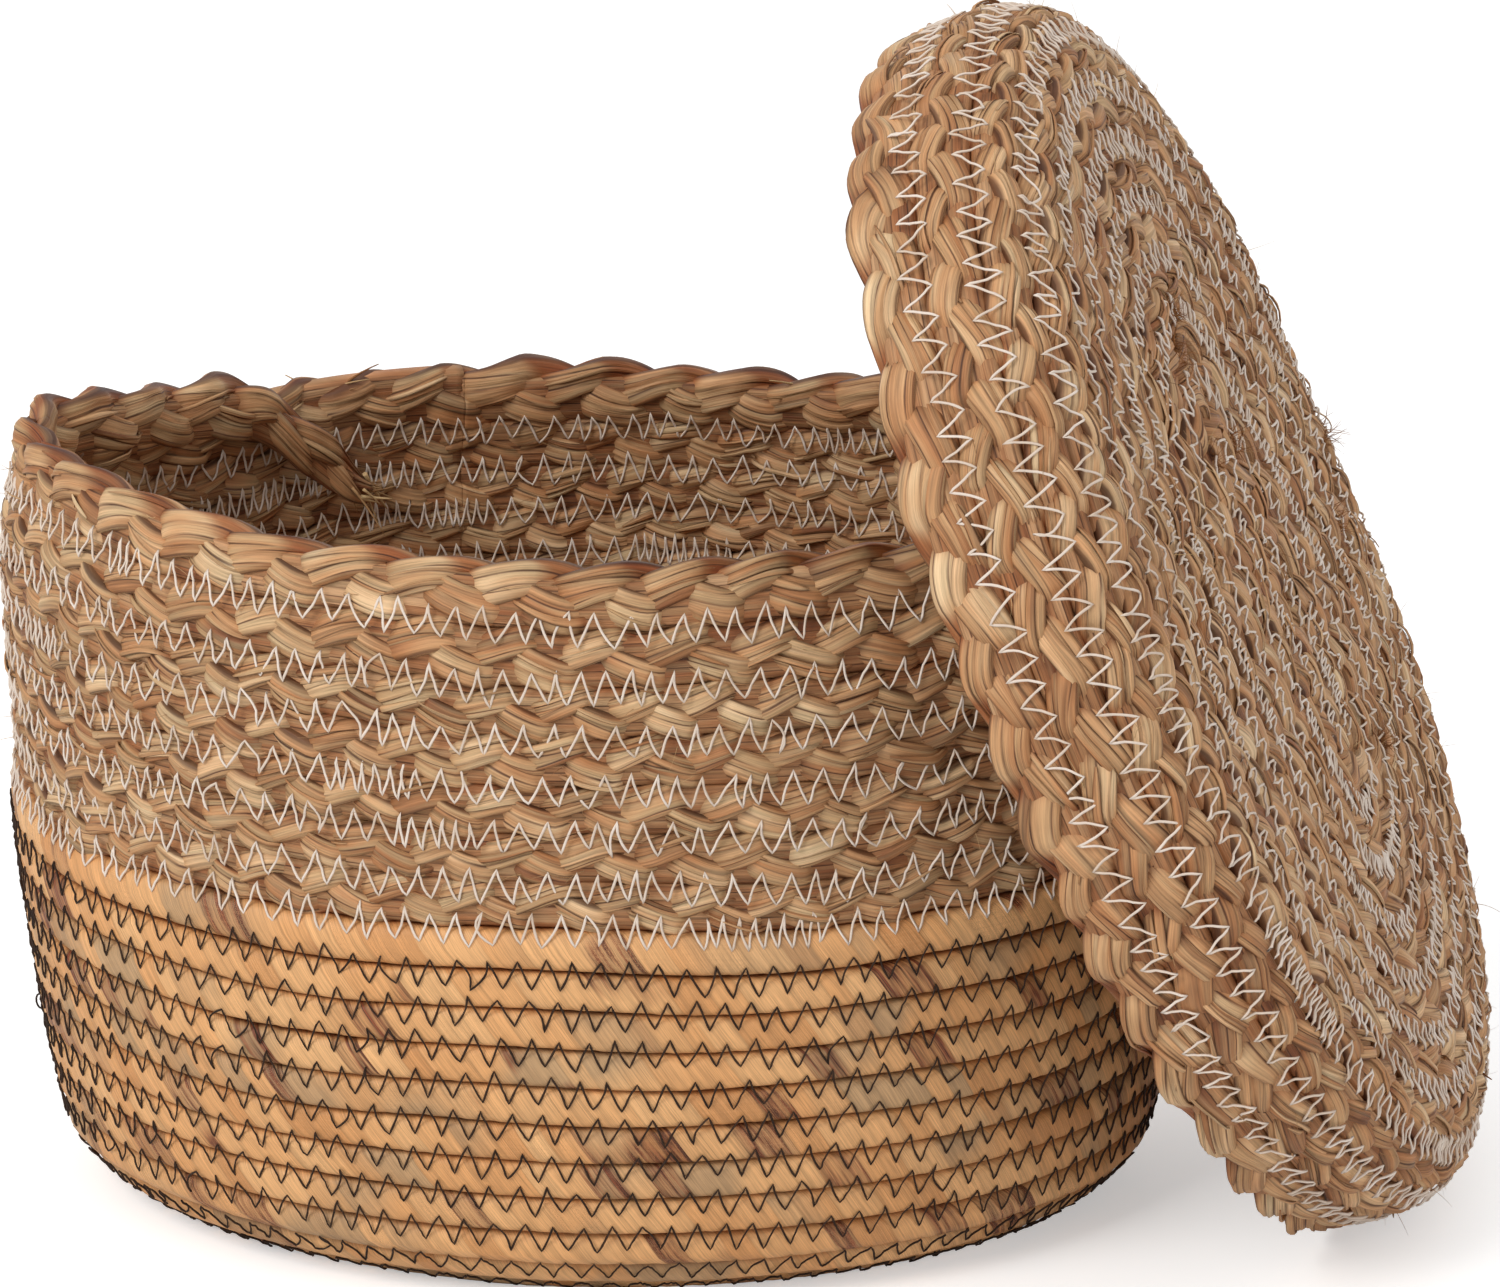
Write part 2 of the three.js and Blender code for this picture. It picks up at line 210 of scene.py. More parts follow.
def strand_bulge(share: Array) -> Array:
    """Height of a strand, of its half thickness, at a share of its half width."""
    return (1.0 - np.abs(share) ** STRAND_SQUARENESS) ** 0.5


def turned(x: Array, z: Array, roll: Array) -> tuple[Array, Array]:
    """Sections turned by the roll at each place."""
    cosine, sine = np.cos(roll)[:, None], np.sin(roll)[:, None]
    return x * cosine - z * sine, x * sine + z * cosine


@dataclass(frozen=True)
class Oval:
    """Plan of a winding, which grows by an offset that is the same at its ends and sides."""

    half_length: float
    half_depth: float
    power: float
    settled_depth: float
    core_power: float = 4.0

    def point(self, offset: Array, angle: Array) -> tuple[Array, Array, Array]:
        """Point of the oval.

        Args:
            offset: distance out from the plan's own line.
            angle: radians, anticlockwise from the right end.

        Returns:
            x, y, and the share of the way towards an end.
        """
        depth = self.half_depth + offset
        inner = np.maximum(0.0, 1.0 - depth / self.settled_depth)
        power = self.power + (self.core_power - self.power) * inner**2
        along = signed_power(np.cos(angle), 2.0 / power)
        across = signed_power(np.sin(angle), 2.0 / power)
        return (depth + self.half_length - self.half_depth) * along, depth * across, along


@dataclass(frozen=True)
class Profile:
    """A row's section along its rope: the reach to the seams below and above, and its thickness."""

    below: Array
    above: Array
    thick: Array

    @property
    def half(self) -> Array:
        """Half of the row's height."""
        return (self.below + self.above) / 2

    @property
    def middle(self) -> Array:
        """Where the middle between the two seams lies."""
        return (self.above - self.below) / 2


class Winding:
    """Rows of one profile, wound on one oval."""

    def __init__(
        self,
        oval: Oval,
        rows: Array,
        start: float,
        rise: float,
        facing: int,
        pose: Matrix,
        ripple: float = 0.9,
    ) -> None:
        """Lays out the winding.

        Args:
            oval: its plan.
            rows: offset, height and thickness of each row, one row each.
            start: angle in radians where turns begin.
            rise: how much the ends stand up, as a share of the height.
            facing: 1 if a row's side looks outward by itself, or -1.
            pose: place of the winding in the part.
            ripple: how unevenly the rows lie, in millimetres.
        """
        self.oval = oval
        self.rows = rows
        self.start = start
        self.rise = rise
        self.facing = facing
        self.pose = np.array(pose)
        self.ripple = ripple
        self.last_row = len(rows) - 1 - ROWS_BEYOND
        self.marks = np.arange(TAPER_START, STEPS * (self.last_row + 1) + MARK_SPACING / 2, MARK_SPACING)
        row = self.row_at(self.marks, 0)
        spots = self.place(row[:, 0], row[:, 1], self.marks)
        runs = np.linalg.norm(np.diff(spots, axis=0), axis=1)
        heights = np.linalg.norm((self.row_at(self.marks, 1) - row)[:, :2], axis=1)
        self.lengths = self._total(runs)
        self.counts = self._total(runs / np.sqrt(EVEN_HEIGHT * heights[1:]))

    def _total(self, steps: Array) -> Array:
        """Running total of the steps between the marks, which is 0 where the first full turn begins."""
        total = np.concatenate([[0.0], np.cumsum(steps)])
        return total - np.interp(STEPS, self.marks, total)

    def row_at(self, mark: Array, shift: int) -> Array:
        """Offset, height and thickness of a row.

        Args:
            mark: steps wound so far, n of them.
            shift: 0 for the row at each mark, 1 for the next one and -1 for the one before.

        Returns:
            An n x 3 array.
        """
        turn = np.floor(mark + 1e-9).astype(int) // STEPS
        share = smoothstep(mark - turn * STEPS, STEPS - CLIMB_STEPS, STEPS)[:, None]
        last = len(self.rows) - 1
        low = self.rows[np.minimum(turn + shift, last)]
        high = self.rows[np.minimum(turn + shift + 1, last)]
        begun = (self.rows[0] + self.rows[1]) / 2 + (shift + 0.5) * share * (self.rows[1] - self.rows[0])
        return np.where(turn[:, None] == 0, begun, low * (1.0 - share) + high * share)

    def place(self, offset: Array, height: Array, mark: Array) -> Array:
        """Point in the part, in millimetres.

        Args:
            offset: distance out from the plan's line.
            height: height in the winding's own frame.
            mark: steps wound so far.

        Returns:
            The points, with x, y and z as the last axis.
        """
        angle = self.start - 2.0 * np.pi * mark / STEPS
        slack = self.ripple * smoothstep(np.abs(height), 20.0, 90.0)
        x, y, along = self.oval.point(offset + slack * waves(angle, height, LEAN_WAVES), angle)
        z = height * (1.0 + self.rise * np.abs(along) ** END_RISE_POWER)
        z = z + slack * waves(angle, height, RISE_WAVES)
        spots = np.stack([x, y, z + 0.0 * x], axis=-1)
        return spots @ self.pose[:3, :3].T + self.pose[:3, 3]


@dataclass(frozen=True)
class TailBend:
    """How a tail leaves its row: it moves inward and slopes away."""

    inward: float
    drop: float


class RowLay:
    """The place of one row, of the seam after it, or of a tail, along a winding."""

    def __init__(
        self,
        winding: Winding,
        first: float,
        last: float,
        seam: bool = False,
        tail: Optional[TailBend] = None,
    ) -> None:
        """Marks out the stretch.

        Args:
            winding: the winding that the stretch is part of.
            first: mark where it begins, in steps of the whole winding.
            last: mark where it ends.
            seam: True for the seam between this row and the next.
            tail: the bend, where the stretch is a tail.
        """
        self.winding = winding
        self.first = first
        self.last = last
        self.seam = seam
        self.tail = tail
        self.begin, self.end = np.interp([first, last], winding.marks, winding.lengths)

    @classmethod
    def of_turn(cls, winding: Winding, row: int) -> "RowLay":
        """The whole turn of one row."""
        return cls(winding, row * STEPS, (row + 1) * STEPS)

    @classmethod
    def of_last(cls, winding: Winding) -> "RowLay":
        """The last row, up to its tail."""
        first = winding.last_row * STEPS
        return cls(winding, first, first + TAIL_STEP)

    @classmethod
    def of_tail(cls, winding: Winding, bend: TailBend) -> "RowLay":
        """The tail of the last row."""
        first = winding.last_row * STEPS
        return cls(winding, first + TAIL_STEP, first + TAIL_END_STEP, tail=bend)

    def marks(self, spacing: float) -> Array:
        """Even places along the stretch, with both ends.

        Args:
            spacing: length from one to the next.

        Returns:
            The places along the rope.
        """
        inside = np.arange(math.ceil(self.begin / spacing), math.floor(self.end / spacing) + 1) * spacing
        inside = inside[(inside > self.begin + 0.2 * spacing) & (inside < self.end - 0.2 * spacing)]
        return np.concatenate([[self.begin], inside, [self.end]])

    def heights(self, s: Array) -> Array:
        """Length of the rope up to each place, counted in heights of its rows, evened out."""
        return np.interp(s, self.winding.lengths, self.winding.counts)

    def calm(self, s: Array) -> Array:
        """How far the winding's last row has begun.

        Args:
            s: places along the rope.

        Returns:
            0 before that row, 1 in it, and between them where the rope climbs to it.
        """
        mark = np.interp(s, self.winding.lengths, self.winding.marks)
        last = self.winding.last_row * STEPS
        return smoothstep(mark, last, last + CLIMB_STEPS)

    def _rows(self, s: Array) -> tuple[Array, Array, Array, Array]:
        """The marks and the rows about them.

        Args:
            s: places along the rope.

        Returns:
            The marks, and the rows before, here and after, at each place.
        """
        mark = np.interp(s, self.winding.lengths, self.winding.marks)
        if self.tail is None:
            near = [self.winding.row_at(mark, shift) for shift in (-1, 0, 1)]
            return mark, near[0], near[1], near[2]
        turn = int(self.first) // STEPS
        step = mark - turn * STEPS
        tucked = smoothstep(step, TAIL_STEP, TAIL_STEP + TUCK_STEPS)
        dive = TAIL_END_STEP + 0.5 - DIVE_STEPS
        dropped = smoothstep(step, dive, dive + DIVE_STEPS)
        shift_by = np.stack([self.tail.inward * tucked, self.tail.drop * dropped, 0.0 * step], axis=1)
        rows = self.winding.rows
        near = [rows[turn + shift] + shift_by for shift in (-1, 0, 1)]
        return mark, near[0], near[1], near[2]

    def profile(self, s: Array) -> Profile:
        """Section of the row.

        Args:
            s: places along the rope.

        Returns:
            The section at each place.
        """
        _, before, here, after = self._rows(s)
        above = np.linalg.norm(after[:, :2] - here[:, :2], axis=1) / 2
        if self.seam:
            return Profile(above, above, (here[:, 2] + after[:, 2]) / 2)
        below = np.linalg.norm(here[:, :2] - before[:, :2], axis=1) / 2
        return Profile(below, above, here[:, 2])

    def to_space(self, s: Array, v: Array, w: Array) -> Array:
        """Points in the part.

        Args:
            s: n places along the rope.
            v: n x m distances across the row.
            w: n x m distances out of the row.

        Returns:
            An n x m x 3 array, in millimetres.
        """
        mark, before, here, after = self._rows(s)
        up = (after - here)[:, :2]
        up = up / np.linalg.norm(up, axis=1)[:, None]
        down = (before - here)[:, :2]
        down = down / np.linalg.norm(down, axis=1)[:, None]
        run = up - down
        centre = here[:, :2]
        if self.seam:
            centre = (here[:, :2] + after[:, :2]) / 2
            down = -up
            run = up
        run = run / np.linalg.norm(run, axis=1)[:, None]
        side = np.stack([run[:, 1], -run[:, 0]], axis=1) * self.winding.facing
        rising = np.maximum(v, 0.0)[..., None] * up[:, None, :]
        falling = np.maximum(-v, 0.0)[..., None] * down[:, None, :]
        spot = centre[:, None, :] + rising + falling + w[..., None] * side[:, None, :]
        return self.winding.place(spot[..., 0], spot[..., 1], mark[:, None])


class CoreLay:
    """The straight core of a spiral, or one of the two seams along it."""

    end_angle: float = math.radians(14.0)  # where the core ends, seen round the oval from its tip

    def __init__(self, winding: Winding, side: int = 0) -> None:
        """Marks out the straight run.

        Args:
            winding: the winding that begins around it.
            side: 0 for the core, and 1 or -1 for the seam on one side of it.
        """
        oval = winding.oval
        offset, self.height, self.thick = winding.rows[1]
        self.half = (oval.half_depth + offset) / 2
        self.power = oval.core_power
        self.reach = self.half + oval.half_length - oval.half_depth
        self.begin = 0.0
        self.end = 2.0 * self.reach * math.cos(self.end_angle) ** (2.0 / self.power)
        self.side = side
        self.facing = -winding.facing
        self.pose = winding.pose

    def marks(self, spacing: float) -> Array:
        """Even places along the run, with both ends."""
        return np.linspace(self.begin, self.end, int((self.end - self.begin) / spacing) + 2)

    def heights(self, s: Array) -> Array:
        """Length of the run up to each place, counted in its widths, evened out."""
        return s / math.sqrt(EVEN_HEIGHT * 2.0 * self.half)

    def calm(self, s: Array) -> Array:
        """0, because the core is far from the last row."""
        return 0.0 * s

    def _half(self, s: Array) -> Array:
        """Half of the core's width at each place, which follows the first turn around it."""
        share = np.abs(s - self.end / 2) / self.reach
        return self.half * np.maximum(1.0 - share**self.power, 0.0) ** (1.0 / self.power)

    def profile(self, s: Array) -> Profile:
        """Section of the run at each place."""
        half = self.half + 0.0 * s if self.side else self._half(s)
        return Profile(half, half, self.thick + 0.0 * s)

    def to_space(self, s: Array, v: Array, w: Array) -> Array:
        """Points in the part.

        Args:
            s: n places along the run.
            v: n x m distances across it.
            w: n x m distances out of it.

        Returns:
            An n x m x 3 array, in millimetres.
        """
        x = s[:, None] - self.end / 2 + 0.0 * v
        y = v + self.side * self._half(s)[:, None] + 0.0 * x
        spots = np.stack([x, y, self.height + self.facing * w + 0.0 * x], axis=-1)
        return spots @ self.pose[:3, :3].T + self.pose[:3, 3]


Lay = Union[RowLay, CoreLay]


class MeshMaker:
    """Gathers closed tubes and makes one mesh object of them."""

    def __init__(self) -> None:
        """Starts empty."""
        self.points: list[Array] = []
        self.lays: list[Array] = []
        self.lifts: list[Array] = []
        self.quads: list[Array] = []
        self.caps: list[Array] = []
        self.count = 0

    def tube(self, rings: Array, lay: Array, lift: Array) -> None:
        """Adds a closed tube.

        Args:
            rings: n rings of m points each, in millimetres.
            lay: the same shape, the place on the rope that each point belongs to.
            lift: n x m, how far each point stands out of the row, from 0 to 1, which sets its painted recess
                shade.
        """
        n, m = rings.shape[:2]
        flat = rings.reshape(-1, 3)
        index = np.arange(n * m).reshape(n, m)
        turned = np.roll(index, -1, axis=1)
        quads = np.stack([index[:-1], turned[:-1], turned[1:], index[1:]], axis=-1).reshape(-1, 4)
        first, last = index[0][::-1], index[-1]
        a, b, c, d = (flat[quads[:, k]] - flat[0] for k in range(4))
        volume = np.einsum("ij,ij->", a, np.cross(b, c)) + np.einsum("ij,ij->", a, np.cross(c, d))
        if volume < 0:
            quads = quads[:, ::-1]
            first, last = first[::-1], last[::-1]
        self.points.append(flat * MM)
        self.lays.append(lay.reshape(-1, 3))
        self.lifts.append(lift.reshape(-1))
        self.quads.append(quads + self.count)
        self.caps += [first + self.count, last + self.count]
        self.count += n * m

    def wire(self, path: Array, normals: Array, radius: Array, sides: int, key: float) -> None:
        """Adds a round thread or straw.

        Args:
            path: n points of its middle line, in millimetres.
            normals: n directions roughly square to it.
            radius: n radii.
            sides: sides of its section.
            key: a number that tells its colour from its neighbours'.
        """
        tangent = np.gradient(path, axis=0)
        tangent /= np.linalg.norm(tangent, axis=1)[:, None] + 1e-9
        normal = normals - np.einsum("ij,ij->i", normals, tangent)[:, None] * tangent
        normal /= np.linalg.norm(normal, axis=1)[:, None] + 1e-9
        across = np.cross(tangent, normal)
        turn = 2.0 * np.pi * np.arange(sides) / sides
        ring = np.cos(turn)[None, :, None] * normal[:, None] + np.sin(turn)[None, :, None] * across[:, None]
        rings = path[:, None] + ring * radius[:, None, None]
        gone = np.concatenate([[0.0], np.cumsum(np.linalg.norm(np.diff(path, axis=0), axis=1))])
        along = np.repeat(gone[:, None], sides, axis=1)
        lay = np.stack([along, radius[:, None] * np.sin(turn)[None], np.full(along.shape, key)], axis=-1)
        self.tube(rings, lay, np.ones(along.shape))

    def build(self, name: str, material: bpy.types.Material, body: Body) -> bpy.types.Object:
        """Makes the object and lets it ride on its body.

        Args:
            name: name of the piece.
            material: its finish.
            body: the body that it moves with.

        Returns:
            The new object.
        """
        points = np.concatenate(self.points)
        quads = np.concatenate(self.quads)
        corners = np.concatenate([quads.ravel(), *self.caps])
        sizes = np.concatenate([np.full(len(quads), 4), [len(cap) for cap in self.caps]])
        starts = np.concatenate([[0], np.cumsum(sizes)[:-1]])
        mesh = bpy.data.meshes.new(name)
        mesh.vertices.add(len(points))
        mesh.vertices.foreach_set("co", points.ravel())
        mesh.loops.add(len(corners))
        mesh.loops.foreach_set("vertex_index", corners.astype(np.int32))
        mesh.polygons.add(len(sizes))
        mesh.polygons.foreach_set("loop_start", starts.astype(np.int32))
        mesh.update(calc_edges=True)
        mesh.polygons.foreach_set("use_smooth", np.arange(len(sizes)) < len(quads))
        lay = mesh.attributes.new("lay", "FLOAT_VECTOR", "POINT")
        lay.data.foreach_set("vector", np.concatenate(self.lays).ravel())
        # How far each point stands out, which the materials turn into painted recess shade.
        lift = mesh.attributes.new("lift", "FLOAT", "POINT")
        lift.data.foreach_set("value", np.concatenate(self.lifts))
        mesh.materials.append(material)
        piece = bpy.data.objects.new(name, mesh)
        bpy.context.scene.collection.objects.link(piece)
        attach(piece, body.value)
        LOG.info("%s: %d faces on %s", name, len(sizes), body.value)
        return piece

    def dress(self, node: str, make: str, material: bpy.types.Material, body: Body) -> None:
        """Makes the object in place of a row's plain solid.

        Args:
            node: name of the row's node.
            make: what the row is made of, which ends the piece's name.
            material: its finish.
            body: the body that it moves with.
        """
        piece = self.build(f"{node}_{make}", material, body)
        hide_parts(node)


@dataclass(frozen=True)
class Plait:
    """Three flat strands of dry leaf, plaited over a core of leaves that run straight."""

    pitch: float = 4.2  # one strand goes over to the other edge and back, in heights of the row
    straightness: float = 0.93  # 1 for strands that run straight from edge to edge
    swing_share: float = 0.62  # swing of a strand's middle, of half the row's height
    free_straightness: float = 0.6  # the same two along the last row, whose edge waves less
    free_swing_share: float = 0.52
    width_share: float = 0.69  # half of a strand's width, of half the row's height
    depth_share: float = 0.50  # swing in and out, of half the row's thickness
    thin_share: float = 0.37  # half of a strand's thickness, of half the row's
    crossing: int = -1  # which way the strands cross on the outer face
    edge_swell: float = 0.8  # how much thicker a strand is where it turns back at the row's edge
    edge_narrowing: float = 0.14  # how much narrower it is there
    beat: float = 0.20  # how far the crossings wander from an even beat, in radians
    width_play: float = 0.10  # how far a strand's width, thickness and place wander
    thickness_play: float = 0.12
    place_play: float = 0.5
    roll: float = 0.16  # how far it rolls over at the edges, and by chance, in radians
    press_ease: float = 0.42  # how softly it is pressed flat at the row's surface
    leaf_play: float = 0.26  # how unlike the leaves' widths are
    relief: float = 0.75  # how far a leaf's edge stands off the next leaf
    tilt: float = 1.35  # how far a leaf tips, crowns and crumples, of that
    crown: float = 0.14
    crumple: float = 0.16
    spacing: float = 2.0
    taper: float = 14.0  # length over which a tail thins out
    core_share: float = 0.28  # half of the core's thickness, of the row's
    core_spacing: float = 4.0
    core_sides: int = 12
    core_leaf: float = 2.6  # width of its leaves
    core_lift: float = 0.42  # how far out it counts as standing, which sets its painted shade
    free_core_share: float = 0.6  # reach of the core towards a free edge
    blade_length: Pair = (20.0, 75.0)  # shortest and longest loose blade
    blade_stub: float = 12.0  # one that the row's end cuts shorter than this is left out
    blade_half: Pair = (0.5, 1.7)  # half widths of the narrowest and the widest
    blade_peel: float = 2.6  # how far a blade's end may stand off

    def strand_path(self, lay: Lay, s: Array, index: int, seed: int) -> tuple[Array, ...]:
        """Middle line and section of one strand.

        Args:
            lay: the row's place.
            s: places along it.
            index: 0, 1 or 2.
            seed: number of its random streams.

        Returns:
            v and w of the middle, half width, half thickness and roll, at each place.
        """
        row = lay.profile(s)
        beat = self.beat * wander(seed + 90, s, 80.0)[:, 0]
        phase = 2.0 * np.pi * (lay.heights(s) / self.pitch + index / 3.0) + beat
        edge = np.sin(phase) ** 2
        loose = wander(seed + 10 + index, s, 38.0, 4)
        wide = row.half * self.width_share * (1.0 - self.edge_narrowing * edge)
        wide = wide * (1.0 + self.width_play * loose[:, 0])
        thin = row.thick / 2 * self.thin_share * (1.0 + self.edge_swell * edge)
        thin = thin * (1.0 + self.thickness_play * loose[:, 1])
        calm = lay.calm(s)
        straight = self.straightness + (self.free_straightness - self.straightness) * calm
        swing = np.arcsin(straight * np.sin(phase)) / np.arcsin(straight)
        reach = self.swing_share + (self.free_swing_share - self.swing_share) * calm
        v = row.middle + row.half * reach * swing + self.place_play * loose[:, 2]
        w = self.crossing * row.thick / 2 * self.depth_share * signed_power(np.sin(2.0 * phase), 0.8)
        roll = self.roll * loose[:, 3] + self.roll * np.sin(phase) * self.crossing
        return v, w, wide, thin, roll

    def press(self, lay: Lay, s: Array, v: Array, w: Array) -> tuple[Array, Array]:
        """Presses points under the row's bulge.

        Args:
            lay: the row's place.
            s: n places along it.
            v: n x m distances across it.
            w: n x m distances out of it.

        Returns:
            The pressed w, and how far each point stands out, from 0 to 1.
        """
        row = lay.profile(s)
        share = np.abs(v - row.middle[:, None]) / row.half[:, None]
        top = RowShape.PLAIT.bulge(share) * row.thick[:, None] / 2
        pressed = soft_limit(w, top, self.press_ease)
        return pressed, np.clip(np.abs(pressed) / top, 0.0, 1.0)

    def section(self, s: Array, stream: int) -> tuple[Array, Array, Array, Array]:
        """Outline of a strand, whose leaves lie side by side on both faces.

        Args:
            s: n places along it.
            stream: number of its random streams.

        Returns:
            Across, height, relief and leaf coordinate, each n x m, as shares of the half sizes, but the
            relief in millimetres. The leaf coordinate counts the leaves around, and its fraction runs
            from one edge of a leaf to the other.
        """
        across, height, relief, leaf = [], [], [], []
        for side, face in enumerate((1.0, -1.0)):
            play = self.leaf_play * wander(stream + side, s, 34.0, LEAVES_ON_A_FACE + 1)
            edges = np.linspace(-1.0, 1.0, LEAVES_ON_A_FACE + 1) + play
            edges = np.sort(np.clip(edges, -0.96, 0.96), axis=1)
            edges[:, 0], edges[:, -1] = -1.0, 1.0
            tilt = wander(stream + 2 + side, s, 30.0, LEAVES_ON_A_FACE)
            tilt = tilt / np.sqrt(1.0 + 0.5 * tilt**2)
            crumple = self.crumple * wander(stream + 4 + side, s, 4.5, LEAVES_ON_A_FACE)
            for number in range(LEAVES_ON_A_FACE):
                for place in LEAF_PLACES:
                    u = face * (edges[:, number] + (edges[:, number + 1] - edges[:, number]) * place)
                    crown = self.crown if place == LEAF_MIDDLE else 0.0
                    across.append(u)
                    height.append(face * strand_bulge(u))
                    stand = tilt[:, number] * (place - LEAF_MIDDLE) * self.tilt + crown + crumple[:, number]
                    relief.append(face * self.relief * stand)
                    leaf.append(np.full(len(s), side * LEAVES_ON_A_FACE + number + place))
        return tuple(np.stack(columns, axis=1) for columns in (across, height, relief, leaf))

    def weave(self, maker: MeshMaker, lay: Lay, seed: int, tapered: bool, free: bool) -> None:
        """Adds the core and the three strands.

        Args:
            maker: where they go.
            lay: the row's place.
            seed: number of the random streams, shared by a whole winding.
            tapered: True if the far end thins out.
            free: True if no row follows.
        """
        s = lay.marks(self.spacing)
        self._core(maker, lay, tapered, free)
        thinned = self._thinned(lay, s, tapered, 0.25)
        for index in range(3):
            v, w, wide, thin, roll = self.strand_path(lay, s, index, seed)
            wide, thin = wide * thinned, thin * thinned
            u, high, relief, leaf = self.section(s, seed + 20 * (index + 1))
            x, z = turned(u * wide[:, None], high * thin[:, None], roll)
            across = v[:, None] + x
            out, lift = self.press(lay, s, across, w[:, None] + z)
            place = np.stack([s[:, None] + 0.0 * x, leaf, np.full(x.shape, seed % 97 + index * 3.7)], axis=-1)
            maker.tube(lay.to_space(s, across, out + relief), place, lift)

    def _thinned(self, lay: Lay, s: Array, tapered: bool, least: float) -> Array:
        """How much of a section is left.

        Args:
            lay: the row's place.
            s: places along it.
            tapered: True if its far end thins out.
            least: what is left at that end.

        Returns:
            The share at each place.
        """
        if not tapered:
            return np.ones(len(s))
        return least + (1.0 - least) * smoothstep(lay.end - s, 0.0, self.taper)

    def _core(self, maker: MeshMaker, lay: Lay, tapered: bool, free: bool) -> None:
        """Adds the leaves that run along inside the row and show between the strands.

        Args:
            maker: where they go.
            lay: the row's place.
            tapered: True if the far end thins out.
            free: True if no row follows.
        """
        s = lay.marks(self.core_spacing)
        row = lay.profile(s)
        turn = 2.0 * np.pi * np.arange(self.core_sides) / self.core_sides + np.pi / self.core_sides
        thinned = self._thinned(lay, s, tapered, 0.2)
        above = row.above * (self.free_core_share if free else 1.0)
        reach = np.where(np.sin(turn)[None] > 0.0, above[:, None], row.below[:, None])
        v = signed_power(np.sin(turn), 0.4)[None] * reach * thinned[:, None]
        flat = signed_power(np.cos(turn), 0.5)[None]
        w = self.core_share * flat * row.thick[:, None] * thinned[:, None]
        place = np.stack([s[:, None] + 0.0 * v, v / self.core_leaf, 0.0 * v + CORE_KEY], axis=-1)
        # The core's lift is fixed, which gives it an even painted shade.
        maker.tube(lay.to_space(s, v, w), place, np.full(v.shape, self.core_lift))

    def blades(self, maker: MeshMaker, lay: Lay, seed: int, per_metre: float) -> None:
        """Adds the loose blades that lie on the strands.

        Args:
            maker: where they go.
            lay: the row's place.
            seed: number of the random streams of its strands.
            per_metre: how many there are.
        """
        length = lay.end - lay.begin
        rng = np.random.default_rng(seed + int(lay.begin) + 7)
        for _ in range(int(length / 1000.0 * per_metre)):
            begin = lay.begin + rng.uniform(0.0, max(length - 30.0, 1.0))
            end = min(begin + rng.uniform(*self.blade_length), lay.end - 1.0)
            if end - begin < self.blade_stub:
                continue
            s = np.linspace(begin, end, int((end - begin) / 2.6) + 2)
            v, w, wide, thin, roll = self.strand_path(lay, s, int(rng.integers(3)), seed)
            face = rng.choice([-1.0, 1.0])
            start, drift = rng.uniform(-0.7, 0.7), rng.uniform(-0.6, 0.6)
            share = (s - begin) / (end - begin)
            middle = np.clip(start + drift * share, -0.8, 0.8) * wide
            ends = np.sin(np.pi * np.clip(share, 0.02, 0.98)) ** 0.5
            half = rng.uniform(*self.blade_half) * ends
            seat = thin * strand_bulge(middle / wide)
            gap = 0.35 + 0.6 * rng.random() * np.abs(wander(int(rng.integers(9999)), s - begin, 9.0)[:, 0])
            peel = self.blade_peel * rng.random() ** 3 * share**4
            x = middle[:, None] + half[:, None] * BLADE_ACROSS
            x, z = turned(x, face * seat[:, None] + 0.0 * BLADE_ACROSS, roll)
            across = v[:, None] + x
            out, lift = self.press(lay, s, across, w[:, None] + z)
            out = out + face * ((gap + peel)[:, None] + BLADE_CROWN * (0.5 + ends[:, None]))
            leaf = np.repeat(LEAF_MIDDLE + 0.44 * BLADE_ACROSS[None], len(s), axis=0)
            place = np.stack([s[:, None] + 0.0 * x, leaf, np.full(x.shape, rng.uniform(0.0, 60.0))], axis=-1)
            maker.tube(lay.to_space(s, across, out), place, lift)


